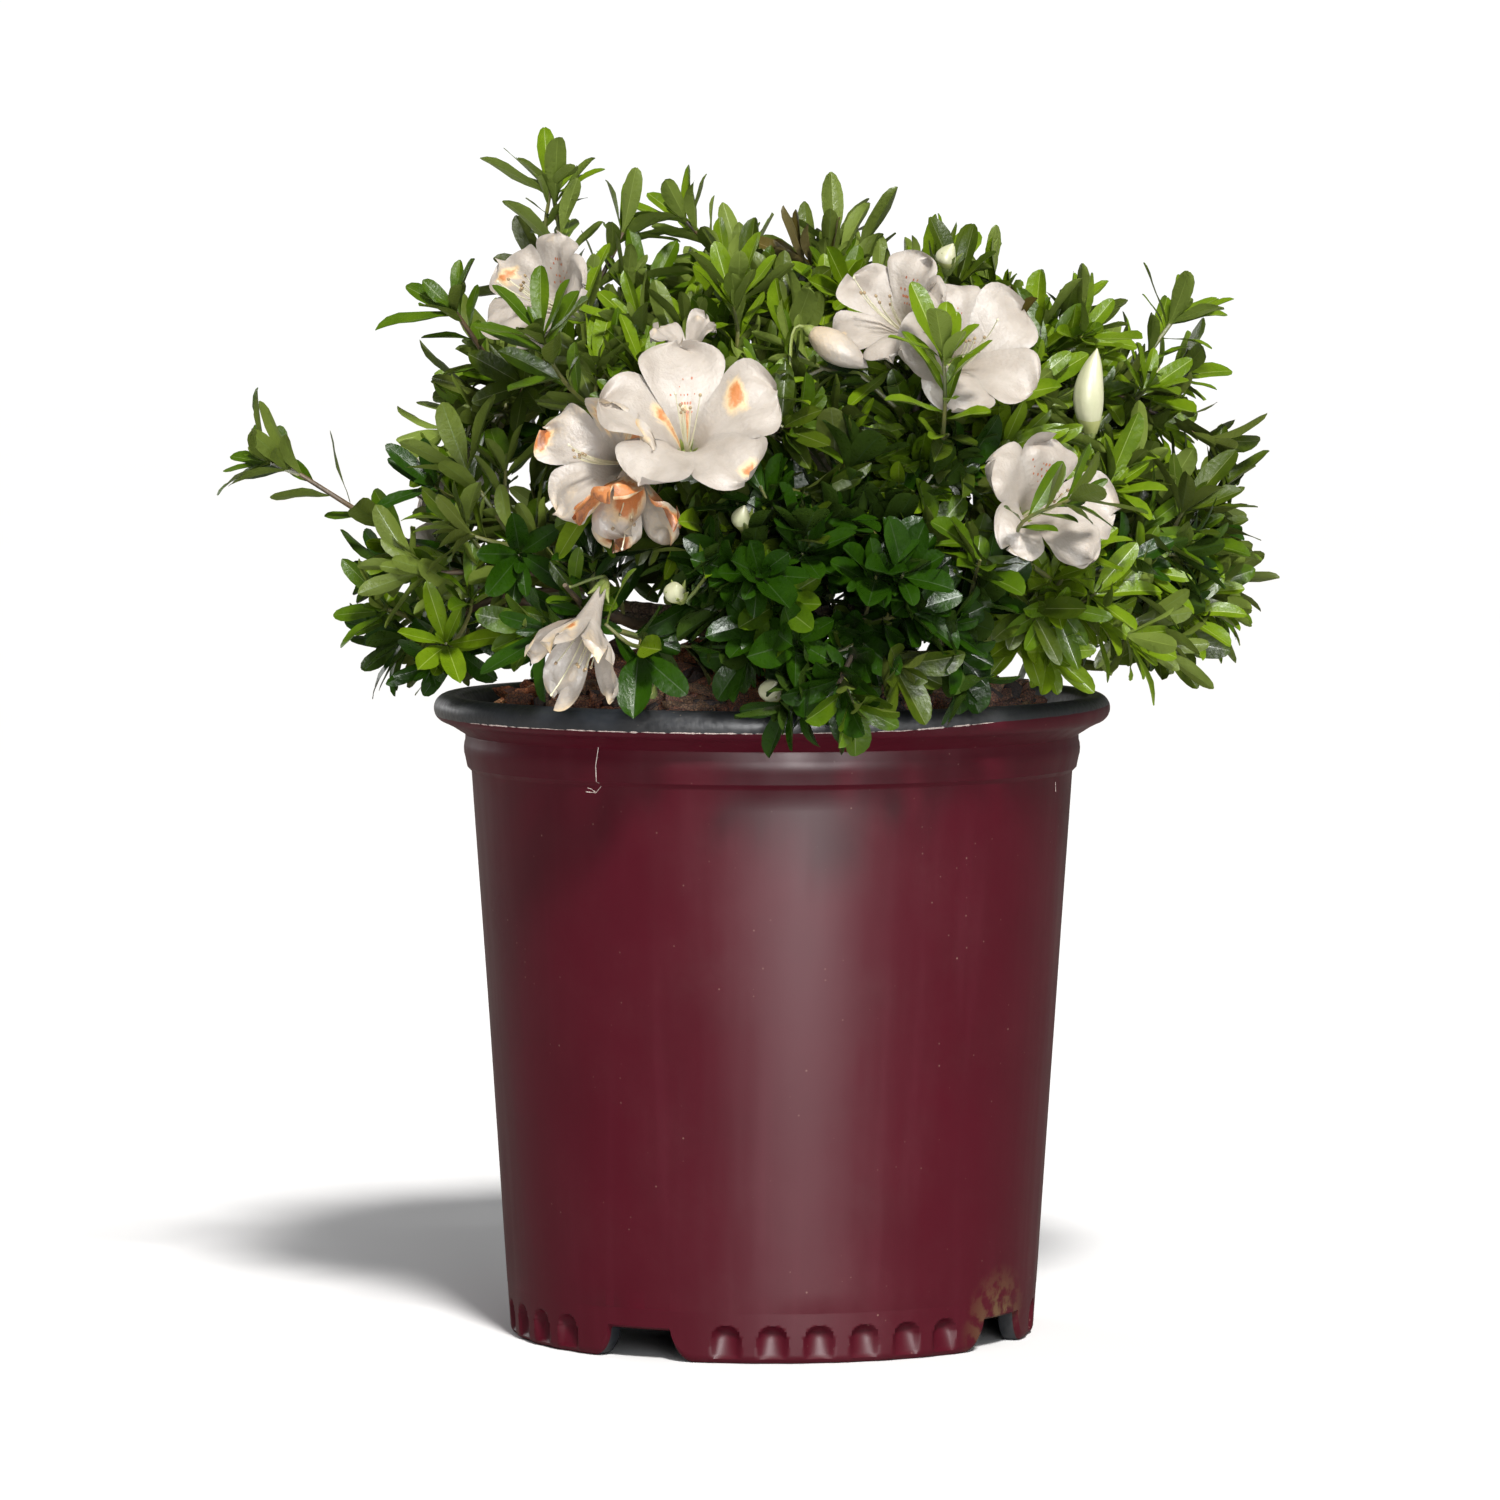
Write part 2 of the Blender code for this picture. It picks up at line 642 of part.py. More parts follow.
def split(ends):
    """Part a list of shoot ends in two across its widest direction."""
    middle = middle_of(ends)
    far = max(ends, key=lambda end: (end[0] - middle).length)
    across = (far[0] - middle).normalized()
    ranked = sorted(ends, key=lambda end: (end[0] - middle).dot(across))
    half = len(ranked) // 2
    return ranked[:half], ranked[half:]


def twig_radius(tip_count):
    """Return the radius of a twig that carries some tips."""
    return TWIG_TIP_RADIUS * tip_count ** TWIG_THICKENING


def stations(start, end):
    """Return evenly spaced points of a straight line, with both of its ends."""
    count = 1 + math.ceil((end - start).length / STATION_SPACING)
    return [start.lerp(end, number / count) for number in range(count + 1)]


def leaf_shape(root, along, face, length):
    """Return a leaf of eight faces, folded along its rib, from a root inside its twig."""
    side = along.cross(face).normalized()
    waist = root + along * (length * LEAF_WAIST)
    width = LEAF_WIDTH * length / LEAF_LENGTH
    fold = face * (width * LEAF_FOLD)
    tip = root + along * length - face * (length * LEAF_DROOP)
    points = [root, waist + side * (width / 2.0) + fold, tip, waist - side * (width / 2.0) + fold]
    points += [waist + face * (LEAF_THICKNESS / 2.0), waist - face * (LEAF_THICKNESS / 2.0)]
    faces = [[0, 1, 4], [1, 2, 4], [2, 3, 4], [3, 0, 4], [1, 0, 5], [2, 1, 5], [3, 2, 5], [0, 3, 5]]
    return points, faces


class Foliage:
    """Grows the twigs, leaves and blooms of one mass from the end of its bough."""

    def __init__(self, crown, mass):
        self.crown = crown
        self.mass = mass
        self.chance = random.Random(LEAF_SEED + mass.number)
        self.shapes = []
        self.skins = []
        self.leaf_sites = []

    def is_clear(self, start, end):
        """Say whether a twig may run straight from one point to another."""
        return all(self.crown.is_free(point, self.mass, True) for point in stations(start, end)[1:])

    def add(self, shape):
        """Keep a shape, and its skin to hold later leaves off it."""
        self.shapes.append(shape)
        self.skins.append(BVHTree.FromPolygons(*shape))

    def grow(self, path, radii, ends):
        """Carry a twig on through its forks to one end, and grow side twigs to the others."""
        side_groups = []
        while len(ends) > 1:
            fork = path[-1].lerp(middle_of(ends), FORK_SHARE)
            if not self.is_clear(path[-1], fork):
                break
            onward = fork - path[-1]
            path.append(fork)
            radii.append(twig_radius(len(ends)))
            groups = split(ends)
            aside, ends = sorted(groups, key=lambda group: (middle_of(group) - fork).dot(onward))
            side_groups.append((fork, radii[-1], aside))
        open_ends = [end for end in ends if self.is_clear(path[-1], end[0])]
        side_groups += [(path[-1], radii[-1], [end]) for end in open_ends[1:]]
        bloom = None
        if open_ends:
            bloom = open_ends[0][1]
            path.append(open_ends[0][0])
            radii.append(TWIG_TIP_RADIUS)
        if len(path) < 3:
            return
        bearer = len(self.shapes)
        self.add(tube(path, radii, TWIG_SIDES))
        axis = (path[-1] - path[-2]).normalized()
        if bloom:
            self.add(bloom.shape())
        else:
            self.add_sites(path[-1], axis, bearer, LEAVES_PER_TIP)
        self.add_sites(path[-2].lerp(path[-1], SIDE_LEAF_SHARE), axis, bearer, SIDE_LEAVES)
        for fork, radius, group in side_groups:
            self.add_sites(fork, axis, bearer, 1)
            onward = (middle_of(group) - fork).normalized()
            foot = fork + onward * (TWIG_FOOT * radius)
            self.grow([fork, foot], [TWIG_SUNK * radius, twig_radius(len(group))], group)

    def add_sites(self, place, axis, bearer, count):
        """Note where leaves stand on a twig, evenly round it and one just behind another."""
        first = self.chance.uniform(0.0, math.tau)
        for number in range(count):
            root = place - axis * (LEAF_SETBACK + LEAF_SPACING * number)
            self.leaf_sites.append((root, axis, bearer, first + math.tau * number / count))

    def add_leaf(self, root, axis, bearer, turn):
        """Add a leaf round a twig's axis at the first free turn, tilt and size of a few tries."""
        across = axis.orthogonal().normalized()
        beside = axis.cross(across)
        for size in LEAF_TRIES:
            turn += self.chance.uniform(-LEAF_SWAY, LEAF_SWAY)
            tilt = math.radians(self.chance.uniform(*LEAF_TILT))
            spoke = across * math.cos(turn) + beside * math.sin(turn)
            along = axis * math.cos(tilt) + spoke * math.sin(tilt)
            face = axis * math.sin(tilt) - spoke * math.cos(tilt)
            length = LEAF_LENGTH * size * self.chance.uniform(*LEAF_SPREAD)
            points, faces = leaf_shape(root, along, face, length)
            checked = points[1:] + [points[0].lerp(corner, 0.5) for corner in points[1:4]]
            checked += [points[2].lerp(corner, 0.5) for corner in (points[1], points[3])]
            skin = BVHTree.FromPolygons(points, faces)
            touched = (number for number, other in enumerate(self.skins) if skin.overlap(other))
            is_inside = all(self.crown.is_free(point, self.mass, False) for point in checked)
            if is_inside and all(number == bearer for number in touched):
                self.add((points, faces))
                return

    def add_stem(self):
        """Start the mass's own stem just clear of its bough's tip, and grow the mass from it."""
        path = self.mass.bough_path()
        along = (path[-1] - path[-2]).normalized()
        foot = path[-1] + along * GAP
        ends = self.crown.ends[self.mass.name]
        self.grow([foot, foot + along * STEM_LENGTH], [BOUGH_TIP_RADIUS, BOUGH_TIP_RADIUS], ends)
        for site in self.leaf_sites:
            self.add_leaf(*site)


def keep_outer_skin(item):
    """Drop loose scraps and fill sealed hollows, so that one closed skin is left."""
    form = bmesh.new()
    form.from_mesh(item.data)
    bmesh.ops.triangulate(form, faces=form.faces)
    waiting = set(form.faces)
    skins = []
    while waiting:
        skin = [waiting.pop()]
        for face in skin:
            for edge in face.edges:
                for neighbour in edge.link_faces:
                    if neighbour in waiting:
                        waiting.remove(neighbour)
                        skin.append(neighbour)
        skins.append(skin)
    skins.sort(key=lambda skin: len(skin))
    for skin in skins[:-1]:
        bmesh.ops.delete(form, geom=skin, context="FACES")
    loose = [point for point in form.verts if not point.link_faces]
    bmesh.ops.delete(form, geom=loose, context="VERTS")
    form.to_mesh(item.data)
    form.free()


def fuse(name, shapes, material):
    """Join closed shapes into one solid by a Boolean union on a collection."""
    extras = bpy.data.collections.new(name + "_shapes")
    bpy.context.scene.collection.children.link(extras)
    item = solid(name, shapes[0], material)
    for number, shape in enumerate(shapes[1:]):
        extra = solid(f"{name}_{number}", shape, material)
        bpy.context.scene.collection.objects.unlink(extra)
        extras.objects.link(extra)
    union = item.modifiers.new("join", "BOOLEAN")
    union.operation = "UNION"
    union.operand_type = "COLLECTION"
    union.collection = extras
    union.solver = "EXACT"
    bpy.context.view_layer.update()
    joined_up = item.evaluated_get(bpy.context.evaluated_depsgraph_get())
    item.data = bpy.data.meshes.new_from_object(joined_up)
    item.modifiers.clear()
    for extra in list(extras.objects):
        bpy.data.objects.remove(extra, do_unlink=True)
    bpy.data.collections.remove(extras)
    keep_outer_skin(item)


def build_mass(crown, mass, material):
    """Make one mass of foliage."""
    foliage = Foliage(crown, mass)
    foliage.add_stem()
    fuse("foliage_" + mass.name, foliage.shapes, material)


def main():
    """Build the pot, the soil, the wood and the foliage."""
    clear_scene()
    bark = finish("bark", (0.20, 0.12, 0.07), 0.85)
    leaves = finish("leaves", (0.10, 0.22, 0.04), 0.45)
    build_pot(finish("pot_plastic", (0.11, 0.012, 0.025), 0.35))
    build_soil(finish("bark_chips", (0.12, 0.05, 0.03), 0.9))
    build_trunk(bark)
    masses = [Mass(number, *row) for number, row in enumerate(MASSES)]
    crown = Crown(masses, all_blooms())
    for mass in masses:
        build_bough(mass, bark)
        build_mass(crown, mass, leaves)


main()
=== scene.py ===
"""Looks of an azalea shrub in its round nursery pot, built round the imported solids.

Metres, +Z up.  The origin is the centre of the pot's flat underside, -Y is the front and +X is to the
right of it.  Azimuths are degrees round the pot's axis, from 0 at the front towards +X.
"""

import logging
import math
import random
from collections.abc import Callable, Iterable, Sequence
from dataclasses import dataclass, field, replace
from enum import Enum
from functools import cache

import bpy
import numpy as np
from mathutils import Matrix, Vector, noise


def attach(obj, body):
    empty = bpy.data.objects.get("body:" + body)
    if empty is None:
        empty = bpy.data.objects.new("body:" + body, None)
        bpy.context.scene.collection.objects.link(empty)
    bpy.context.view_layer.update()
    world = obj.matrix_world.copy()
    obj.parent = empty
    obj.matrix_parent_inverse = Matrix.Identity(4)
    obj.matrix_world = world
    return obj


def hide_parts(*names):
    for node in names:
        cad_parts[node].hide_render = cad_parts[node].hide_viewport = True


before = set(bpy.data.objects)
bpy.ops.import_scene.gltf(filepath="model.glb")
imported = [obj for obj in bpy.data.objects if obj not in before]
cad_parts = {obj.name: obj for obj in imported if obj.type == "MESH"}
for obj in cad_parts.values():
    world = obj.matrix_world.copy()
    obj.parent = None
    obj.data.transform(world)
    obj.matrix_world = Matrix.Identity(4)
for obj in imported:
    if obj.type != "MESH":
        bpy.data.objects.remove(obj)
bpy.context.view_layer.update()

LOG = logging.getLogger("azalea")
BODY = "root"
GAP = 0.0003
GOLDEN_ANGLE = 180.0 * (3.0 - math.sqrt(5.0))

Colour = tuple[float, float, float]
Shape = tuple[np.ndarray, np.ndarray]
Ring = tuple[np.ndarray, np.ndarray, int]
Span = tuple[float, float]
Relief = Callable[[Vector], float]
Socket = bpy.types.NodeSocket
Node = bpy.types.Node
Item = bpy.types.Object
Sockets = dict[str, object]


# ---- Plain helpers ----


def heading(azimuth: float, elevation: float) -> Vector:
    """Return the unit vector at an azimuth and elevation.

    Args:
        azimuth: Degrees round the pot's axis.
        elevation: Degrees above the level.

    Returns:
        The unit vector.
    """
    turn = math.radians(azimuth)
    rise = math.radians(elevation)
    return Vector((math.sin(turn) * math.cos(rise), -math.cos(turn) * math.cos(rise), math.sin(rise)))


def frame_about(axis: Vector) -> tuple[Vector, Vector]:
    """Return two unit vectors across an axis, the first as near to straight up as it can be.

    Args:
        axis: The unit vector that both are square to.

    Returns:
        The upward one and the one beside it.
    """
    up = Vector((0.0, 0.0, 1.0)) - axis * axis.z
    if up.length < 0.05:
        up = Vector((0.0, 1.0, 0.0)) - axis * axis.y
    up.normalize()
    return up, up.cross(axis).normalized()


def spoke_at(up: Vector, beside: Vector, turn: float) -> Vector:
    """Return the direction that stands at a turn between two directions."""
    return up * math.cos(turn) + beside * math.sin(turn)


def grid_faces(rows: int, columns: int, closed: bool) -> np.ndarray:
    """Return the four-sided faces of a grid of points.

    Args:
        rows: Number of rows of points.
        columns: Number of points in a row.
        closed: Whether the last column joins the first.

    Returns:
        An array of four point numbers for each face.
    """
    spans = columns if closed else columns - 1
    row, column = np.meshgrid(np.arange(rows - 1), np.arange(spans), indexing="ij")
    after = (column + 1) % columns
    here = row * columns
    corners = (here + column, here + after, here + columns + after, here + columns + column)
    return np.stack([corner.ravel() for corner in corners], axis=1)


def capped_grid(rows: int, columns: int) -> np.ndarray:
    """Return the faces of a closed grid whose first and last rows are capped to two more points.

    Args:
        rows: Number of rings of points.
        columns: Number of points in a ring.

    Returns:
        An array of four point numbers for each face, the caps' last.
    """
    ring = np.arange(columns)
    after = (ring + 1) % columns
    first = np.full(columns, rows * columns)
    top = (rows - 1) * columns
    low_cap = np.stack([after, ring, first, first], axis=1)
    high_cap = np.stack([top + ring, top + after, first + 1, first + 1], axis=1)
    return np.concatenate([grid_faces(rows, columns, True), low_cap, high_cap])


def smooth_path(corners: Sequence[Vector], spacing: float) -> list[Vector]:
    """Run a smooth curve through some points.

    Args:
        corners: The points that it passes through.
        spacing: About how far apart the points of the curve are.

    Returns:
        The points of the curve, with each corner among them.
    """
    padded = [corners[0] * 2.0 - corners[1], *corners, corners[-1] * 2.0 - corners[-2]]
    curve = [corners[0].copy()]
    for before, start, end, after in zip(padded, padded[1:], padded[2:], padded[3:]):
        count = max(1, round((end - start).length / spacing))
        for step in range(1, count + 1):
            share = step / count
            pull = (end - before) * share + (before * 2.0 - start * 5.0 + end * 4.0 - after) * share**2
            pull += (start * 3.0 - before - end * 3.0 + after) * share**3
            curve.append(start + pull * 0.5)
    return curve


def rows_of(points: Iterable[Vector]) -> np.ndarray:
    """Return points as the rows of an array."""
    return np.array([tuple(point) for point in points])


def run_lengths(path: Sequence[Vector]) -> np.ndarray:
    """Return how far along a path each of its points is."""
    return np.cumsum([0.0, *((after - before).length for before, after in zip(path, path[1:]))])


def sweep(path: Sequence[Vector], radii: Sequence[float], sides: int, relief: Relief | None = None) -> Shape:
    """Sweep a ring along a path into a tube with closed ends.

    Args:
        path: The points of the middle line.
        radii: The radius at each of them.
        sides: Number of points round a ring.
        relief: Gives the share by which the radius grows at a point, or None.

    Returns:
        The points and the four-sided faces.
    """
    across = (path[1] - path[0]).normalized().orthogonal().normalized()
    points = []
    for number, (centre, radius) in enumerate(zip(path, radii)):
        along = (path[min(number + 1, len(path) - 1)] - path[max(number - 1, 0)]).normalized()
        across = (across - along * across.dot(along)).normalized()
        beside = along.cross(across)
        for side in range(sides):
            turn = math.tau * side / sides
            spoke = spoke_at(across, beside, turn)
            grown = 1.0 + relief(centre + spoke * radius) if relief else 1.0
            points.append(centre + spoke * (radius * grown))
    points += [path[0], path[-1]]
    return rows_of(points), capped_grid(len(path), sides)


class Stock:
    """Gathers the points and faces of one piece, each face with the number of its finish."""

    def __init__(self) -> None:
        """Start with nothing."""
        self.points: list[np.ndarray] = []
        self.faces: list[np.ndarray] = []
        self.slots: list[np.ndarray] = []
        self.marks: list[np.ndarray] = []
        self.count = 0

    def add(self, shape: Shape, slot: int | np.ndarray = 0, mark: np.ndarray | float = 0.0) -> None:
        """Take in one shape.

        Args:
            shape: Its points and its faces, in which a repeated last corner makes a triangle.
            slot: The number of the finish of all faces or of each.
            mark: How aged all points or each of them are, from 0 to 1.
        """
        points, faces = shape
        self.points.append(points)
        self.faces.append(faces + self.count)
        self.slots.append(np.broadcast_to(np.asarray(slot), (len(faces),)))
        self.marks.append(np.broadcast_to(np.asarray(mark, float), (len(points),)))
        self.count += len(points)

    def piece(self, name: str, finishes: Sequence["Finish"], crease: float = 40.0) -> Item:
        """Make what was gathered into one object.

        Args:
            name: The name of the object.
            finishes: The finish of each slot.
            crease: Degrees beyond which an edge shows sharp.

        Returns:
            The object.
        """
        faces = np.concatenate(self.faces)
        is_triangle = faces[:, 2] == faces[:, 3]
        kept = np.ones(faces.shape, bool)
        kept[is_triangle, 3] = False
        totals = np.where(is_triangle, 3, 4)
        starts = np.concatenate(([0], np.cumsum(totals)[:-1]))
        mesh = bpy.data.meshes.new(name)
        mesh.vertices.add(self.count)
        mesh.vertices.foreach_set("co", np.concatenate(self.points).astype(np.float32).ravel())
        mesh.loops.add(int(totals.sum()))
        mesh.loops.foreach_set("vertex_index", faces[kept].astype(np.int32))
        mesh.polygons.add(len(faces))
        mesh.polygons.foreach_set("loop_start", starts.astype(np.int32))
        for finish in finishes:
            mesh.materials.append(dressed(finish))
        mesh.polygons.foreach_set("material_index", np.concatenate(self.slots).astype(np.int32))
        ageing = mesh.attributes.new("ageing", "FLOAT", "POINT")
        ageing.data.foreach_set("value", np.concatenate(self.marks).astype(np.float32))
        mesh.update(calc_edges=True)
        mesh.validate()
        mesh.shade_smooth()
        mesh.set_sharp_from_angle(angle=math.radians(crease))
        item = bpy.data.objects.new(name, mesh)
        bpy.context.scene.collection.objects.link(item)
        return item


def place(item: Item, nodes: Iterable[str], slot: str) -> None:
    """Set a piece on the frame in place of some solids, and report it.

    Args:
        item: The piece.
        nodes: The solids that it stands for.
        slot: The name of the record's material slot; not used.
    """
    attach(item, BODY)
    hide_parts(*nodes)
    LOG.info("%s: %d faces", item.name, len(item.data.polygons))


# ---- Shader helpers and shared effects ----


class Nodes:
    """Places nodes in one tree and joins their sockets."""

    def __init__(self, tree: bpy.types.NodeTree) -> None:
        """Keep the tree that the nodes go into."""
        self.tree = tree

    def put(self, kind: str, inputs: dict | None = None, **settings: object) -> Node:
        """Place one node.

        Args:
            kind: The node's type name.
            inputs: What goes into its sockets, each a value or another node's output.
            settings: The node's own choices.

        Returns:
            The node.
        """
        node = self.tree.nodes.new(kind)
        for name, value in settings.items():
            setattr(node, name, value)
        for name, value in (inputs or {}).items():
            if isinstance(value, Socket):
                self.tree.links.new(value, node.inputs[name])
            else:
                node.inputs[name].default_value = value
        return node

    def places(self) -> Socket:
        """Return the object's own coordinates."""
        return self.put("ShaderNodeTexCoord").outputs["Object"]

    def speckle(self, place: Socket, scale: float, detail: float = 3.0) -> Socket:
        """Return a noise of some scale."""
        inputs = {"Vector": place, "Scale": scale, "Detail": detail, "Roughness": 0.55}
        return self.put("ShaderNodeTexNoise", inputs).outputs["Fac"]

    def span(
        self, value: Socket, low: float, high: float, start: float = 0.0, end: float = 1.0
    ) -> Socket:
        """Map a value from the span between low and high to the one between start and end."""
        inputs = {"Value": value, "From Min": low, "From Max": high, "To Min": start, "To Max": end}
        return self.put("ShaderNodeMapRange", inputs).outputs["Result"]

    def sum_up(self, kind: str, first: object, second: object) -> Socket:
        """Work out one sum of two values."""
        return self.put("ShaderNodeMath", {0: first, 1: second}, operation=kind, use_clamp=True).outputs[0]

    def plain_sum(self, kind: str, *values: object) -> Socket:
        """Work out one sum of two or three values without holding it between 0 and 1."""
        return self.put("ShaderNodeMath", dict(enumerate(values)), operation=kind).outputs[0]

    def mixed(self, share: Socket, first: object, second: object) -> Socket:
        """Mix two colours by a share that changes over the surface.

        Args:
            share: How much of the second colour shows.
            first: A colour or an output that gives one.
            second: Another.

        Returns:
            The mixed colour.
        """
        first, second = ((*side, 1.0) if isinstance(side, tuple) else side for side in (first, second))
        inputs = {0: share, 6: first, 7: second}
        return self.put("ShaderNodeMix", inputs, data_type="RGBA").outputs[2]

    def bump(self, height: Socket, strength: float, distance: float) -> Socket:
        """Return a normal tilted by a height."""
        inputs = {"Height": height, "Strength": strength, "Distance": distance}
        return self.put("ShaderNodeBump", inputs).outputs["Normal"]


class Effect:
    """A shader node group that several materials share, built the first time it is placed."""

    name = ""
    takes: dict[str, float] = {}
    gives: tuple[str, ...] = ()

    def work(self, nodes: Nodes, given: Node) -> Sockets:
        """Place the nodes inside the group, and return the output that each named socket carries."""
        raise NotImplementedError

    def tree(self) -> bpy.types.NodeTree:
        """Return the group, built if it isn't there yet."""
        found = bpy.data.node_groups.get(self.name)
        if found:
            return found
        made = bpy.data.node_groups.new(self.name, "ShaderNodeTree")
        for name, value in self.takes.items():
            socket = made.interface.new_socket(name, in_out="INPUT", socket_type="NodeSocketFloat")
            socket.default_value = value
        for name in self.gives:
            made.interface.new_socket(name, in_out="OUTPUT", socket_type="NodeSocketFloat")
        nodes = Nodes(made)
        results = self.work(nodes, nodes.put("NodeGroupInput"))
        nodes.put("NodeGroupOutput", results)
        return made

    def put(self, nodes: Nodes, **values: float) -> Node:
        """Place the group in a material, with the inputs that differ from the usual ones."""
        named = {name.replace("_", " ").capitalize(): value for name, value in values.items()}
        return nodes.put("ShaderNodeGroup", named, node_tree=self.tree())


class Mottle(Effect):
    """Broad and fine patches, for anything whose tone wanders."""

    name = "mottle"
    takes = {"Scale": 60.0, "Softness": 0.5}
    gives = ("Broad", "Fine")

    def work(self, nodes: Nodes, given: Node) -> Sockets:
        """Place two noises, the finer one seven times as fine."""
        place = nodes.places()
        finer = nodes.plain_sum("MULTIPLY", given.outputs["Scale"], 7.0)
        results = {}
        for name, scale in (("Broad", given.outputs["Scale"]), ("Fine", finer)):
            raw = nodes.speckle(place, scale)
            softness = given.outputs["Softness"]
            low, high = (nodes.plain_sum("MULTIPLY_ADD", half, softness, 0.5) for half in (-0.25, 0.25))
            inputs = {"Value": raw, "From Min": low, "From Max": high}
            results[name] = nodes.put("ShaderNodeMapRange", inputs).outputs["Result"]
        return results


class Dust(Effect):
    """Loose specks and a thin uneven film of dirt."""

    name = "dust"
    takes = {"Scale": 260.0, "Amount": 0.5}
    gives = ("Specks", "Film")

    def work(self, nodes: Nodes, given: Node) -> Sockets:
        """Place round specks in some cells, and a film that lies in patches."""
        place = nodes.places()
        cells = nodes.put("ShaderNodeTexVoronoi", {"Vector": place, "Scale": given.outputs["Scale"]})
        near = nodes.span(cells.outputs["Distance"], 0.16, 0.06)
        patches = nodes.speckle(place, 30.0, 4.0)
        drawn = nodes.put("ShaderNodeSeparateColor", {"Color": cells.outputs["Color"]}).outputs[0]
        chosen = nodes.span(drawn, 0.72, 0.78)
        specks = nodes.sum_up("MULTIPLY", near, chosen)
        specks = nodes.sum_up("MULTIPLY", specks, nodes.span(patches, 0.45, 0.62))
        film = nodes.sum_up("MULTIPLY", nodes.span(patches, 0.42, 0.78), nodes.speckle(place, 420.0))
        return {
            "Specks": nodes.sum_up("MULTIPLY", specks, given.outputs["Amount"]),
            "Film": nodes.sum_up("MULTIPLY", film, given.outputs["Amount"]),
        }


class Grain(Effect):
    """Fine relief that runs up and down."""

    name = "grain"
    takes = {"Scale": 90.0, "Stretch": 0.08}
    gives = ("Lines", "Height")

    def work(self, nodes: Nodes, given: Node) -> Sockets:
        """Place a noise that is drawn out along the height, and a finer even one."""
        place = nodes.places()
        split = nodes.put("ShaderNodeSeparateXYZ", {"Vector": place})
        tall = nodes.plain_sum("MULTIPLY", split.outputs[2], given.outputs["Stretch"])
        drawn = nodes.put("ShaderNodeCombineXYZ", {0: split.outputs[0], 1: split.outputs[1], 2: tall})
        inputs = {"Vector": drawn.outputs[0], "Scale": given.outputs["Scale"], "Detail": 5.0}
        lines = nodes.put("ShaderNodeTexNoise", inputs)
        fine = nodes.speckle(place, 1400.0, 2.0)
        height = nodes.plain_sum("MULTIPLY_ADD", fine, 0.25, lines.outputs["Fac"])
        return {"Lines": nodes.span(lines.outputs["Fac"], 0.3, 0.7), "Height": height}


MOTTLE = Mottle()
DUST = Dust()
GRAIN = Grain()


# ---- Finishes ----


@dataclass(frozen=True)
class Finish:
    """What every finish has: a name and two colours between which it wanders."""

    name: str
    low: Colour
    high: Colour

    def dress(self, nodes: Nodes) -> Sockets:
        """Return what goes into the principled shader's sockets, with its nodes placed."""
        raise NotImplementedError

    def skin(self, nodes: Nodes, mottling: Span, rough: Span, relief: Span) -> tuple[Node, Sockets]:
        """Place the wandering tone, the uneven gloss and the fine relief that most finishes share.

        Args:
            nodes: The material's nodes.
            mottling: The scale and softness of the patches.
            rough: The least and the most roughness.
            relief: The strength and depth of the relief.

        Returns:
            The mottle's node, and what goes into the shader's sockets.
        """
        mottle = MOTTLE.put(nodes, scale=mottling[0], softness=mottling[1])
        fine = mottle.outputs["Fine"]
        return mottle, {
            "Base Color": nodes.mixed(mottle.outputs["Broad"], self.low, self.high),
            "Roughness": nodes.span(fine, 0.0, 1.0, *rough),
            "Normal": nodes.bump(fine, *relief),
        }


@cache
def dressed(finish: Finish) -> bpy.types.Material:
    """Make a finish into a material, once.

    Args:
        finish: The finish.

    Returns:
        The material.
    """
    material = bpy.data.materials.new(finish.name)
    material.use_nodes = True
    material.node_tree.nodes.clear()
    nodes = Nodes(material.node_tree)
    shader = nodes.put("ShaderNodeBsdfPrincipled", finish.dress(nodes))
    nodes.put("ShaderNodeOutputMaterial", {"Surface": shader.outputs[0]})
    return material


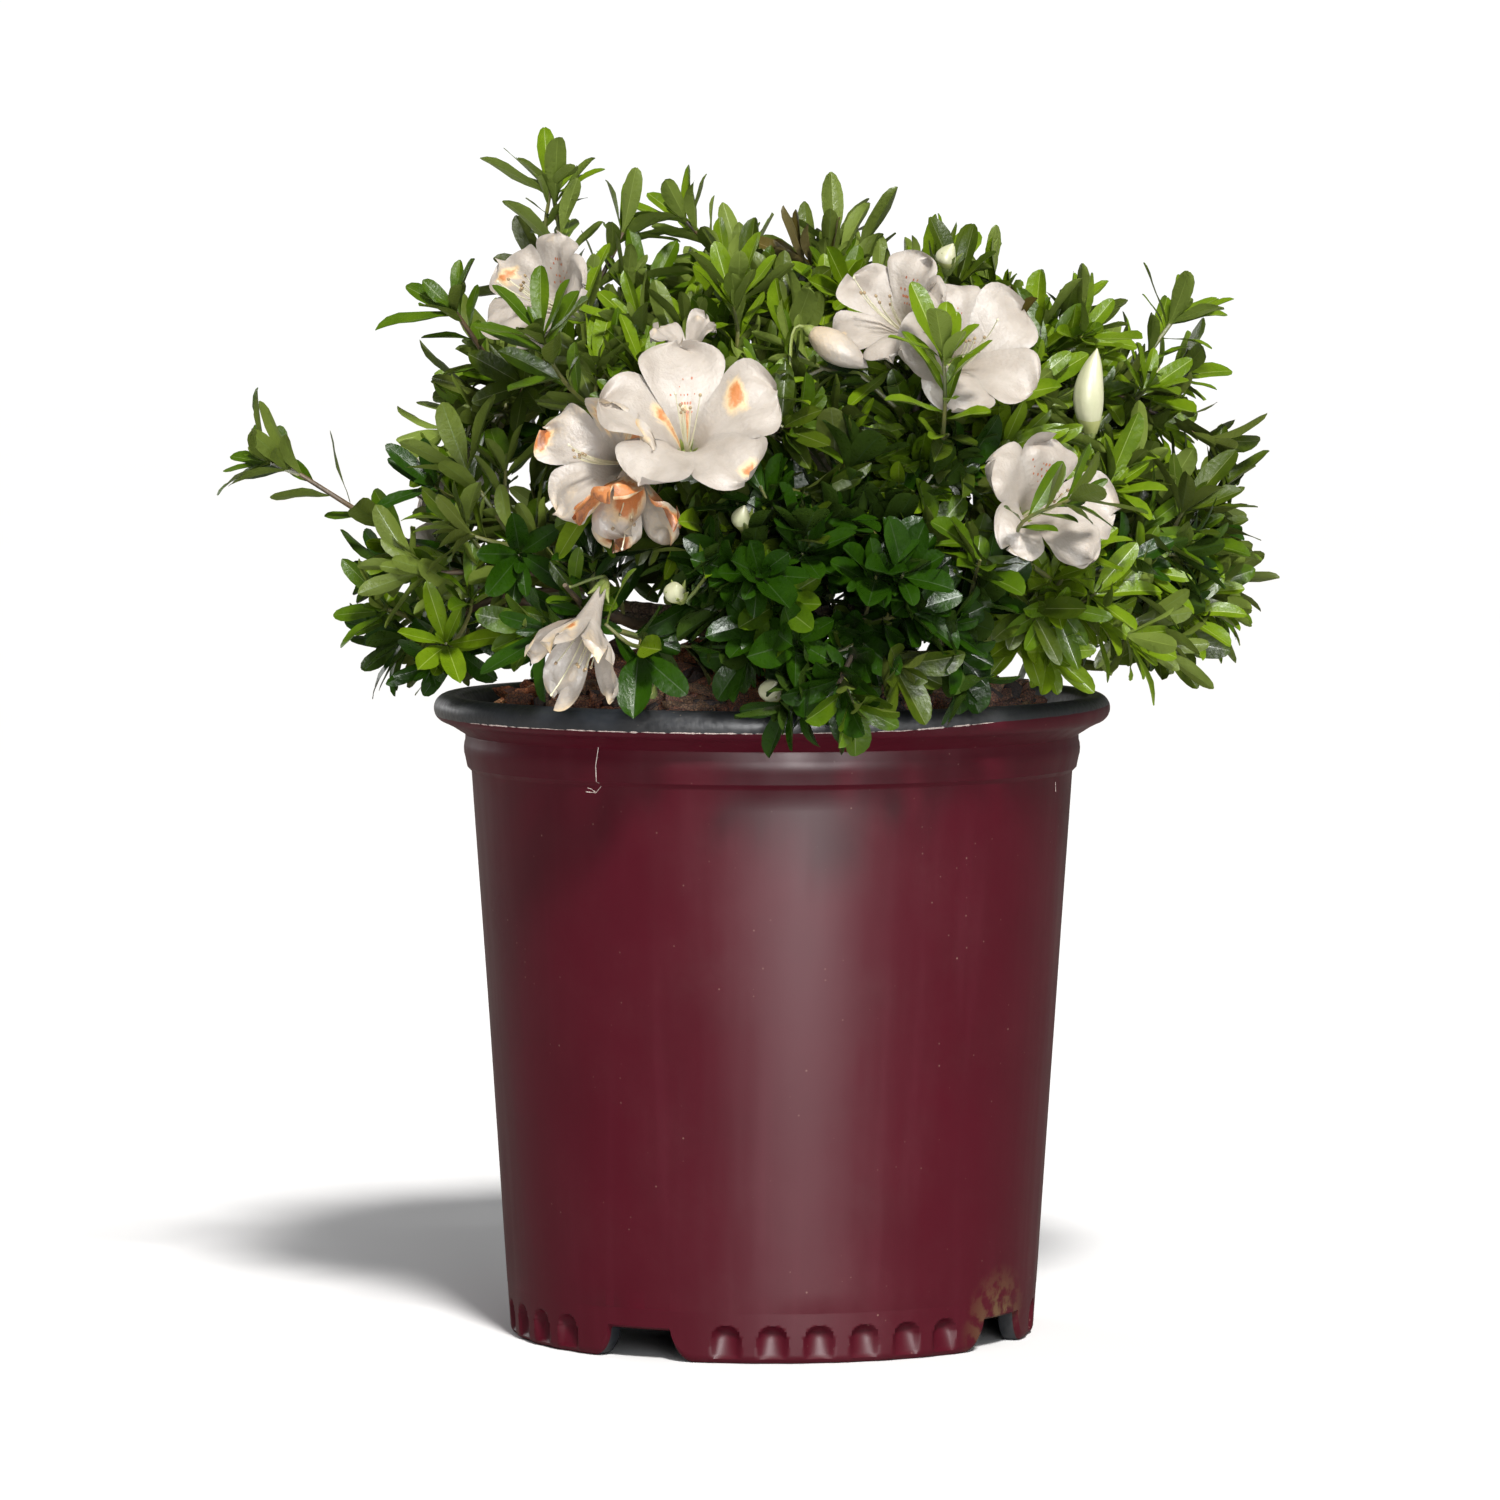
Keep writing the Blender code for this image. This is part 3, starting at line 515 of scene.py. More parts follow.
@dataclass(frozen=True)
class PrintedPlastic(Finish):
    """Burgundy film on a blown plastic wall: satin, streaked and a little dusty."""

    dust: Colour = (0.30, 0.17, 0.14)
    streak: Colour = (0.092, 0.005, 0.017)
    soil: Colour = (0.115, 0.062, 0.028)
    soil_place: Colour = (0.0800, -0.0500, 0.0080)
    soil_reach: Span = (0.022, 0.006)

    def dress(self, nodes: Nodes) -> Sockets:
        """Join the streaks, the dust, the splash of soil and the satin roughness.

        Args:
            nodes: The material's nodes.

        Returns:
            What goes into the shader's sockets.
        """
        mottle = MOTTLE.put(nodes, scale=26.0, softness=1.6)
        grain = GRAIN.put(nodes, scale=120.0, stretch=0.03).outputs
        dust = DUST.put(nodes, scale=330.0, amount=0.9).outputs
        place = nodes.places()
        ends = {0: place, 1: self.soil_place}
        away = nodes.put("ShaderNodeVectorMath", ends, operation="DISTANCE").outputs["Value"]
        torn = nodes.span(nodes.speckle(place, 190.0, 5.0), 0.44, 0.56)
        splash = nodes.sum_up("MULTIPLY", nodes.span(away, *self.soil_reach), torn)
        tone = nodes.mixed(mottle.outputs["Broad"], self.low, self.high)
        tone = nodes.mixed(nodes.span(grain["Lines"], 0.55, 1.0, 0.0, 0.22), tone, self.streak)
        tone = nodes.mixed(nodes.span(dust["Film"], 0.0, 1.0, 0.0, 0.025), tone, self.dust)
        tone = nodes.mixed(nodes.span(dust["Specks"], 0.1, 0.9, 0.0, 0.55), tone, self.dust)
        tone = nodes.mixed(splash, tone, self.soil)
        rough = nodes.span(grain["Lines"], 0.0, 1.0, 0.38, 0.47)
        rough = nodes.sum_up("ADD", rough, nodes.span(dust["Film"], 0.0, 1.0, 0.0, 0.20))
        rough = nodes.sum_up("MAXIMUM", rough, nodes.span(splash, 0.0, 1.0, 0.0, 0.85))
        relief = nodes.span(grain["Height"], 0.2, 1.0, 0.0, 0.5)
        relief = nodes.sum_up("ADD", relief, nodes.span(splash, 0.0, 1.0, 0.0, 0.5))
        normal = nodes.bump(relief, 0.35, 0.0002)
        return {"Base Color": tone, "Roughness": rough, "Normal": normal, "Specular IOR Level": 0.14}


@dataclass(frozen=True)
class BarePlastic(Finish):
    """Black moulded plastic of the rim and the inside, dulled by handling."""

    film: Colour = (0.22, 0.20, 0.18)
    specks: Colour = (0.36, 0.30, 0.24)

    def dress(self, nodes: Nodes) -> Sockets:
        """Join the scuffed tone, the dust and the uneven gloss.

        Args:
            nodes: The material's nodes.

        Returns:
            What goes into the shader's sockets.
        """
        _, skin = self.skin(nodes, (70.0, 0.8), (0.34, 0.52), (0.2, 0.0002))
        dust = DUST.put(nodes, scale=420.0, amount=0.8).outputs
        tone = nodes.mixed(nodes.span(dust["Film"], 0.0, 1.0, 0.0, 0.28), skin["Base Color"], self.film)
        tone = nodes.mixed(nodes.span(dust["Specks"], 0.1, 0.9, 0.0, 0.8), tone, self.specks)
        return skin | {"Base Color": tone}


@dataclass(frozen=True)
class Worn(Finish):
    """Pale stretched film where the wall is scratched or its edge has lifted."""

    def dress(self, nodes: Nodes) -> Sockets:
        """Join the broken pale tone, which wanders finely, and the roughness, which wanders broadly."""
        mottle, skin = self.skin(nodes, (420.0, 0.7), (0.55, 0.8), (0.3, 0.0002))
        tone = nodes.mixed(mottle.outputs["Fine"], self.low, self.high)
        rough = nodes.span(mottle.outputs["Broad"], 0.0, 1.0, 0.55, 0.8)
        return skin | {"Base Color": tone, "Roughness": rough}


@dataclass(frozen=True)
class Fibrous(Finish):
    """Bark: rough fibre with dark cracks between pale ridges."""

    scale: float = 210.0
    depth: float = 0.0006

    def dress(self, nodes: Nodes) -> Sockets:
        """Join the cracked tone and the relief.

        Args:
            nodes: The material's nodes.

        Returns:
            What goes into the shader's sockets.
        """
        mottle = MOTTLE.put(nodes, scale=self.scale, softness=0.7)
        grain = GRAIN.put(nodes, scale=self.scale * 4.0, stretch=0.25)
        inputs = {"Vector": nodes.places(), "Scale": self.scale * 3.0}
        cells = nodes.put("ShaderNodeTexVoronoi", inputs, feature="DISTANCE_TO_EDGE")
        crack = nodes.span(cells.outputs["Distance"], 0.0, 0.16)
        tone = nodes.mixed(mottle.outputs["Broad"], self.low, self.high)
        tone = nodes.mixed(crack, tuple(value * 0.35 for value in self.low), tone)
        tone = nodes.mixed(nodes.span(grain.outputs["Lines"], 0.5, 1.0, 0.0, 0.4), tone, self.high)
        height = nodes.sum_up("MULTIPLY", crack, nodes.span(grain.outputs["Height"], 0.0, 1.2))
        rough = nodes.span(mottle.outputs["Fine"], 0.0, 1.0, 0.72, 0.95)
        return {"Base Color": tone, "Roughness": rough, "Normal": nodes.bump(height, 0.7, self.depth)}


@dataclass(frozen=True)
class Fleshy(Finish):
    """Soft living skin: young shoots, buds, stamens and the veins of leaves."""

    gloss: float = 0.5

    def dress(self, nodes: Nodes) -> Sockets:
        """Join the wandering tone and a faint relief."""
        return self.skin(nodes, (150.0, 0.8), (self.gloss - 0.08, self.gloss + 0.1), (0.2, 0.0002))[1]


@dataclass(frozen=True)
class Blade(Finish):
    """A leaf's blade: glossy and veined above, paler and duller below."""

    under: Colour
    gloss: float

    def dress(self, nodes: Nodes) -> Sockets:
        """Join the two sides' tones, the gloss and the puckered relief."""
        _, skin = self.skin(nodes, (75.0, 1.0), (self.gloss - 0.06, self.gloss + 0.14), (0.35, 0.0004))
        side = nodes.put("ShaderNodeNewGeometry").outputs["Backfacing"]
        tone = nodes.mixed(side, skin["Base Color"], self.under)
        return skin | {"Base Color": tone, "Specular IOR Level": 0.17}


@dataclass(frozen=True)
class Petal(Finish):
    """A petal: white with faint shadowed veins, gone cream and then brown where it has aged."""

    cream: Colour = (0.70, 0.54, 0.32)
    brown: Colour = (0.56, 0.20, 0.05)
    dead: Colour = (0.26, 0.09, 0.03)

    def dress(self, nodes: Nodes) -> Sockets:
        """Join the ageing tones, the crepe of the skin and its soft gloss.

        Args:
            nodes: The material's nodes.

        Returns:
            What goes into the shader's sockets.
        """
        mottle, skin = self.skin(nodes, (110.0, 0.7), (0.48, 0.66), (0.3, 0.0004))
        age = nodes.put("ShaderNodeAttribute", attribute_name="ageing").outputs["Fac"]
        frayed = nodes.sum_up("ADD", age, nodes.span(mottle.outputs["Fine"], 0.0, 1.0, -0.05, 0.05))
        tone = skin["Base Color"]
        stages = ((0.12, 0.5, self.cream), (0.5, 0.72, self.brown), (0.85, 1.0, self.dead))
        for start, end, colour in stages:
            tone = nodes.mixed(nodes.span(frayed, start, end), tone, colour)
        depths = {"Subsurface Radius": (0.004, 0.003, 0.002), "Subsurface Scale": 1.0}
        return skin | depths | {"Base Color": tone, "Subsurface Weight": 0.15}


@dataclass(frozen=True)
class Studio(Finish):
    """The pale floor, dimmed where glossy things mirror it."""

    mirrored: Colour = (0.30, 0.29, 0.27)

    def dress(self, nodes: Nodes) -> Sockets:
        """Join a faint unevenness and the tone that glossy things mirror.

        Args:
            nodes: The material's nodes.

        Returns:
            What goes into the shader's sockets.
        """
        mottle = MOTTLE.put(nodes, scale=2.0, softness=0.5)
        tone = nodes.mixed(mottle.outputs["Broad"], self.low, self.high)
        mirrored = nodes.put("ShaderNodeLightPath").outputs["Is Glossy Ray"]
        tone = nodes.mixed(mirrored, tone, self.mirrored)
        return {"Base Color": tone, "Roughness": 0.9, "Specular IOR Level": 0.0}


BURGUNDY = PrintedPlastic("pot_burgundy", (0.058, 0.0018, 0.0080), (0.071, 0.0024, 0.0104))
RIM_BLACK = BarePlastic("pot_black", (0.010, 0.012, 0.016), (0.019, 0.023, 0.030))
WORN_EDGE = Worn("pot_worn_edge", (0.30, 0.19, 0.17), (0.74, 0.65, 0.60))
BARK = Fibrous("shrub_bark", (0.075, 0.045, 0.028), (0.200, 0.135, 0.085))
HEAP = Fibrous("bark_heap", (0.040, 0.014, 0.008), (0.120, 0.042, 0.024), 120.0, 0.0012)
OLD_TWIG = Fleshy("twig_brown", (0.070, 0.042, 0.018), (0.140, 0.090, 0.040), 0.6)
YOUNG_SHOOT = Fleshy("shoot_green", (0.080, 0.110, 0.018), (0.190, 0.180, 0.045), 0.5)
PETAL = Petal("petal_white", (0.385, 0.340, 0.295), (0.480, 0.435, 0.388))
FILAMENT = Fleshy("stamen_pale", (0.70, 0.68, 0.46), (0.84, 0.82, 0.64), 0.5)
ANTHER = Fleshy("anther_brown", (0.26, 0.17, 0.08), (0.46, 0.34, 0.18), 0.7)
FLECK = Fleshy("petal_fleck", (0.34, 0.10, 0.045), (0.48, 0.19, 0.09), 0.6)
CALYX = Fleshy("calyx_green", (0.14, 0.20, 0.035), (0.27, 0.32, 0.07), 0.5)
BUD_SKIN = Fleshy("bud_green", (0.36, 0.40, 0.12), (0.50, 0.52, 0.20), 0.45)
BUD_TIP = Fleshy("bud_cream", (0.54, 0.56, 0.34), (0.62, 0.62, 0.42), 0.45)
FLOOR = Studio("studio_floor", (0.94, 0.95, 0.975), (0.95, 0.96, 0.985))


class ChipTone(Enum):
    """The tones of bark chip."""

    RED = Fibrous("chip_red", (0.33, 0.100, 0.040), (0.60, 0.220, 0.095), 260.0, 0.0005)
    DARK = Fibrous("chip_dark", (0.045, 0.015, 0.008), (0.120, 0.040, 0.020), 260.0, 0.0005)
    TAN = Fibrous("chip_tan", (0.42, 0.180, 0.075), (0.64, 0.350, 0.170), 260.0, 0.0005)


class LeafTone(Enum):
    """The tones of a spray's leaves, each with its blade and its pale midrib. The sunlit, middle and darkest
    tones are lit, half-lit and shaded copies of one green, which paint light and shade into the leaves'
    colour; the olive and bronze tones are the leaves' own tints.
    """

    # Painted light: the brightest copy, for the top, the right side and the outside of the crown.
    SUNLIT = (
        Blade("leaf_sunlit", (0.078, 0.146, 0.002), (0.168, 0.262, 0.008), (0.180, 0.245, 0.045), 0.30),
        Fleshy("rib_sunlit", (0.20, 0.28, 0.04), (0.27, 0.35, 0.06), 0.45),
    )
    # The half-lit copy, for places with middling light.
    FRESH = (
        Blade("leaf_half_lit", (0.038, 0.086, 0.0015), (0.084, 0.150, 0.003), (0.120, 0.165, 0.026), 0.33),
        Fleshy("rib_half_lit", (0.085, 0.14, 0.016), (0.13, 0.19, 0.026), 0.45),
    )
    # Painted shade: the darkest copy, for the crown's inside and its low front.
    DEEP = (
        Blade("leaf_painted_shade", (0.0082, 0.033, 0.0006), (0.0205, 0.063, 0.0016), (0.034, 0.066, 0.008), 0.28),
        Fleshy("rib_painted_shade", (0.017, 0.047, 0.005), (0.028, 0.068, 0.008), 0.42),
    )
    OLIVE = (
        Blade("leaf_olive", (0.030, 0.056, 0.002), (0.066, 0.100, 0.004), (0.090, 0.118, 0.020), 0.36),
        Fleshy("rib_olive", (0.08, 0.11, 0.022), (0.12, 0.15, 0.03), 0.45),
    )
    BRONZE = (
        Blade("leaf_bronze", (0.070, 0.055, 0.010), (0.115, 0.088, 0.016), (0.120, 0.100, 0.035), 0.42),
        Fleshy("rib_bronze", (0.15, 0.11, 0.035), (0.20, 0.15, 0.045), 0.45),
    )


# ---- Pot ----


def turned(azimuths: np.ndarray, rings: Sequence[tuple[np.ndarray, np.ndarray]]) -> Shape:
    """Set rings of points round the pot's axis and close them at both ends.

    Args:
        azimuths: The azimuth of each point of a ring.
        rings: The radii and heights of each ring's points.

    Returns:
        The points and the faces, the two caps' faces last.
    """
    turns = np.radians(azimuths)
    radii = np.array([np.broadcast_to(radius, turns.shape) for radius, _ in rings])
    heights = np.array([np.broadcast_to(height, turns.shape) for _, height in rings])
    points = np.stack([radii * np.sin(turns), -radii * np.cos(turns), heights], axis=2).reshape(-1, 3)
    poles = [(0.0, 0.0, heights[0].mean()), (0.0, 0.0, heights[-1].mean())]
    return np.concatenate([points, poles]), capped_grid(len(rings), len(turns))


def turn_between(azimuths: np.ndarray, middle: float) -> np.ndarray:
    """Return how far azimuths lie from another, in degrees from -180 to 180."""
    return (azimuths - middle + 180.0) % 360.0 - 180.0


@dataclass
class Pot:
    """The nursery pot: one blown shell with a printed wall, a bare rolled rim and a fluted foot."""

    foot_radius: float = 0.0921
    foot_rounding: float = 0.0028
    foot_draft: float = 0.0010
    skirt_width: float = 0.0070
    boss_radius: float = 0.0280
    wall_top_radius: float = 0.1054
    wall_top: float = 0.1990
    wall_thickness: float = 0.0022
    wall_waver: float = 0.00022
    floor_top: float = 0.0132
    collar_radius: float = 0.1081
    collar_middle: float = 0.2060
    collar_half: float = 0.0040
    rim_radius: float = 0.1136
    rim_height: float = 0.2200
    rim_roll: float = 0.0050
    drains: tuple[float, ...] = (-30.0, 60.0, 150.0, 240.0)
    drain_height: float = 0.0105
    drain_half: float = 0.0125
    drain_flare: float = 0.0080
    flute_pitch: float = 10.0
    flute_half: float = 0.0050
    flute_depth: float = 0.0044
    flute_top: float = 0.0132
    flute_clearance: float = 15.0
    flute_zone: float = 0.0180
    seam: tuple[Span, ...] = (
        (-180.0, -12.0), (-120.0, -24.0), (-60.0, -30.0), (0.0, -29.0), (22.0, -22.0), (40.0, 0.0),
        (85.0, 20.0), (140.0, 8.0), (180.0, -12.0),
    )
    collar_step: tuple[Span, ...] = ((0.00005, -0.0010), (0.0007, -0.0003), (0.0015, 0.0005))
    rim_cove: tuple[Span, ...] = (
        (-0.0005, 0.0042), (-0.0006, 0.0047), (0.0000, 0.0053), (0.0018, 0.0064), (0.0040, 0.0078),
    )
    lip: tuple[Span, ...] = ((0.1081, 0.2190), (0.1067, 0.2145))
    worn_span: Span = (-62.0, 39.8)
    scratches: tuple[tuple[float, tuple[Span, ...]], ...] = (
        (0.00034, (
            (-33.2, 0.2122), (-33.4, 0.2102), (-33.9, 0.2050),
            (-33.7, 0.1978), (-34.9, 0.1956), (-37.3, 0.1958),
        )),
        (0.00036, ((-34.9, 0.1957), (-35.9, 0.1968), (-36.8, 0.1972))),
        (0.00050, ((68.9, 0.1960), (69.5, 0.1925))),
    )
    columns: int = 720

    def wall_radius(self, height: float | np.ndarray) -> float | np.ndarray:
        """Return the radius of the sloping wall at a height."""
        share = (height - self.foot_rounding) / (self.wall_top - self.foot_rounding)
        return self.foot_radius + (self.wall_top_radius - self.foot_radius) * share

    def waver(self, azimuth: float, height: float) -> float:
        """Return how far the thin wall stands out of true at a place."""
        return self.wall_waver * noise.noise(heading(azimuth, 0.0) * 3.2 + Vector((0.0, 0.0, height * 14.0)))

    def inner_radius(self, height: float) -> float:
        """Return the radius of the inner wall at a height."""
        return self.wall_radius(height) - self.wall_thickness

    def azimuths(self) -> np.ndarray:
        """Return the azimuths of the shell's points, closer together at the drains' edges."""
        found = set(np.round(np.arange(self.columns) * 360.0 / self.columns, 4))
        for drain in self.drains:
            for angle in np.radians(np.arange(5.0, 90.0, 10.0)):
                across = self.drain_half + self.drain_flare * (1.0 - math.cos(angle))
                turn = math.degrees(across / self.foot_radius)
                found |= {round((drain + turn) % 360.0, 4), round((drain - turn) % 360.0, 4)}
        return np.array(sorted(found))

    def foot_edge(self, azimuths: np.ndarray) -> np.ndarray:
        """Return how high the foot's lower edge is at each azimuth: flat over the drains."""
        edge = np.zeros_like(azimuths)
        for drain in self.drains:
            across = np.abs(np.radians(turn_between(azimuths, drain))) * self.foot_radius
            share = 1.0 - np.clip((across - self.drain_half) / self.drain_flare, 0.0, 1.0)
            edge = np.maximum(edge, self.drain_height * (1.0 - np.sqrt(1.0 - share**2)))
        return edge

    def flute_mark(self, azimuths: np.ndarray, height: np.ndarray) -> np.ndarray:
        """Return how deep the flutes cut the wall: round-topped, and shallower towards the foot.

        Args:
            azimuths: The azimuths of a ring's points.
            height: Their heights.

        Returns:
            The depth at each point.
        """
        near = np.abs(turn_between(azimuths, np.round(azimuths / self.flute_pitch) * self.flute_pitch))
        middle = np.round(azimuths / self.flute_pitch) * self.flute_pitch
        away = np.min([np.abs(turn_between(middle, drain)) for drain in self.drains], axis=0)
        across = np.radians(near) * self.foot_radius
        over = np.maximum(height - (self.flute_top - self.flute_half), 0.0)
        share = np.clip(1.0 - (across**2 + over**2) / self.flute_half**2, 0.0, 1.0)
        fade = 0.22 + 0.78 * np.clip(height / self.flute_top, 0.0, 1.0)
        return np.where(away > self.flute_clearance, self.flute_depth * share**0.6 * fade, 0.0)

    def seam_turn(self, azimuths: np.ndarray) -> np.ndarray:
        """Return where on the rolled rim the printed film ends, in degrees up its section."""
        turns, rises = zip(*self.seam)
        places = turn_between(azimuths, 0.0)
        ragged = [noise.noise(Vector((place * 0.35, 0.0, 4.0))) * 1.6 for place in places]
        return np.interp(places, turns, rises) + np.array(ragged)

    def on_rim(self, turn: float | np.ndarray, proud: float = 0.0) -> tuple[np.ndarray, np.ndarray]:
        """Return the radius and height of a point on the rolled rim's section."""
        reach = self.rim_roll + proud
        angle = np.radians(turn)
        return self.rim_radius + reach * np.cos(angle), self.rim_height + reach * np.sin(angle)

    def foot_rings(self, azimuths: np.ndarray) -> list[Ring]:
        """Return the rings of the underside and of the skirt, each with its finish."""
        edge = self.foot_edge(azimuths)
        rings = [(self.boss_radius - 0.001, 0.0, 1), (self.boss_radius, 0.0003, 1)]
        rings += [(self.boss_radius + self.foot_draft, self.drain_height, 1)]
        inner = self.foot_radius - self.skirt_width
        rings += [(inner - self.foot_draft, self.drain_height, 1)]
        rings += [(inner, np.minimum(edge + 0.0006, self.drain_height), 1)]
        rings += [(inner + 0.0006, edge, 1), (self.foot_radius - self.foot_rounding, edge, 1)]
        for turn in (22.0, 45.0, 68.0):
            angle = math.radians(turn)
            fall = self.foot_rounding * (1.0 - math.cos(angle))
            lift = edge + fall * (1.0 - edge / self.flute_zone)
            radius = self.foot_radius - self.foot_rounding * (1.0 - math.sin(angle))
            rings.append((radius - 0.4 * self.flute_mark(azimuths, lift), lift, 0))
        return rings

    def wall_rings(self, azimuths: np.ndarray) -> list[Ring]:
        """Return the rings of the outer wall, fluted at the foot and a little uneven above."""
        edge = self.foot_edge(azimuths)
        rings = []
        for height in np.arange(self.foot_rounding, self.flute_zone, 0.00048):
            lift = edge + height * (1.0 - edge / self.flute_zone)
            rings.append((self.wall_radius(lift) - self.flute_mark(azimuths, lift), lift, 0))
        for height in np.linspace(self.flute_zone, self.wall_top - 0.0015, 26):
            waver = np.array([self.waver(azimuth, height) for azimuth in azimuths])
            rings.append((self.wall_radius(height) + waver, height, 0))
        return rings

    def rim_rings(self, azimuths: np.ndarray) -> list[Ring]:
        """Return the rings of the collar, the rolled rim and the inside."""
        rings = [(self.wall_top_radius + out, self.wall_top + up, 0) for out, up in self.collar_step]
        for turn in (-50.0, -25.0, 0.0, 25.0, 50.0):
            angle = math.radians(turn)
            radius = self.collar_radius - self.collar_half * 0.35 * (1.0 - math.cos(angle))
            rings.append((radius, self.collar_middle + self.collar_half * math.sin(angle), 0))
        for out, up in self.rim_cove:
            rings.append((self.collar_radius + out, self.collar_middle + up, 0))
        seam = self.seam_turn(azimuths)
        for share in np.linspace(0.0, 1.0, 9):
            rings.append((*self.on_rim(-75.0 + (seam + 75.0) * share), 0))
        rings[-1] = (*self.on_rim(seam, 0.00004), 1)
        for share in np.linspace(0.03, 1.0, 16):
            rings.append((*self.on_rim(seam + (150.0 - seam) * share), 1))
        rings += [(*place_at, 1) for place_at in self.lip]
        rings.append((self.collar_radius - self.wall_thickness, self.collar_middle + self.collar_half, 1))
        rings.append((self.inner_radius(self.wall_top), self.wall_top, 1))
        inside = (0.15, 0.10, 0.05, self.floor_top + 0.002)
        rings += [(self.inner_radius(height), height, 1) for height in inside]
        rings += [(self.inner_radius(self.floor_top) - 0.002, self.floor_top, 1), (0.030, self.floor_top, 1)]
        return rings

    def shell(self) -> Item:
        """Build the whole moulding as one closed mesh."""
        azimuths = self.azimuths()
        rings = [*self.foot_rings(azimuths), *self.wall_rings(azimuths), *self.rim_rings(azimuths)]
        slots = [slot for _, _, slot in rings]
        shape = turned(azimuths, [(radius, height) for radius, height, _ in rings])
        face_slots = np.repeat([*slots[:-1], 1, 1], len(azimuths))
        stock = Stock()
        stock.add(shape, face_slots)
        return stock.piece("pot_moulding", (BURGUNDY, RIM_BLACK), 32.0)

    def ribbon(self, line: Sequence[tuple[Vector, Vector]], widths: Sequence[float]) -> Shape:
        """Lay a thin closed strip along a line on the pot.

        Args:
            line: Points on the surface, each with the direction straight out of it.
            widths: The strip's width at each point.

        Returns:
            The points and the faces.
        """
        points = []
        for number, ((place, outward), width) in enumerate(zip(line, widths)):
            ahead = line[min(number + 1, len(line) - 1)][0] - line[max(number - 1, 0)][0]
            beside = ahead.cross(outward).normalized() * (width / 2.0)
            points += [place + beside, place + outward * 0.00010, place - beside, place - outward * 0.00012]
        ends = [line[0][0], line[-1][0]]
        return rows_of(points + ends), capped_grid(len(line), 4)

    def on_wall(self, azimuth: float, height: float) -> tuple[Vector, Vector]:
        """Return a point on the outer wall or the collar and the direction out of it.

        Args:
            azimuth: Its azimuth.
            height: Its height.

        Returns:
            The point and the direction.
        """
        outward = heading(azimuth, 0.0)
        radius = self.wall_radius(height) + self.waver(azimuth, height)
        if height > self.wall_top:
            radius = self.collar_radius
        return outward * radius + Vector((0.0, 0.0, height)), outward

    def scratch(self, corners: Sequence[Span], width: float, chance: random.Random) -> Shape:
        """Build one pale scratch through some places of the wall.

        Args:
            corners: The azimuth and height of each place.
            width: The usual width.
            chance: Where its unevenness comes from.

        Returns:
            The points and the faces.
        """
        places = []
        for start, end in zip(corners, corners[1:]):
            places += [tuple(np.add(start, np.subtract(end, start) * step / 8.0)) for step in range(8)]
        places.append(corners[-1])
        line = [self.on_wall(azimuth, height) for azimuth, height in places]
        widths = [width * chance.uniform(0.4, 1.3) for _ in line]
        widths[0] = widths[-1] = width * 0.2
        return self.ribbon(line, widths)

    def worn_marks(self) -> Item:
        """Build the frayed pale edge of the film along the rim, and the scratches on the wall."""
        chance = random.Random(7)
        stock = Stock()
        azimuth, last = self.worn_span
        while azimuth < last - 0.3:
            span = chance.uniform(1.5, 9.0)
            turns = np.arange(azimuth, min(azimuth + span, last), 0.4)
            if len(turns) > 3:
                rises = self.seam_turn(turns) + 0.8
                line = []
                for turn, rise in zip(turns, rises):
                    radius, height = self.on_rim(rise)
                    spot = heading(turn, 0.0) * radius + Vector((0.0, 0.0, height))
                    line.append((spot, heading(turn, rise)))
                usual = chance.uniform(0.00034, 0.00080)
                tears = [noise.noise(Vector((turn * 1.7, usual * 9000.0, 0.0))) for turn in turns]
                widths = [usual * (0.75 + 0.6 * tear) for tear in tears]
                widths[0] = widths[-1] = 0.00008
                stock.add(self.ribbon(line, widths))
            azimuth += span + chance.choice((0.1, 0.1, 0.3, 1.2))
        for width, corners in self.scratches:
            stock.add(self.scratch(corners, width, chance))
        return stock.piece("pot_worn_edge", (WORN_EDGE,), 60.0)

    def build(self) -> None:
        """Build the pot's pieces."""
        place(self.shell(), ("pot",), "pot_plastic")
        place(self.worn_marks(), ("pot",), "pot_plastic")


# ---- Soil ----


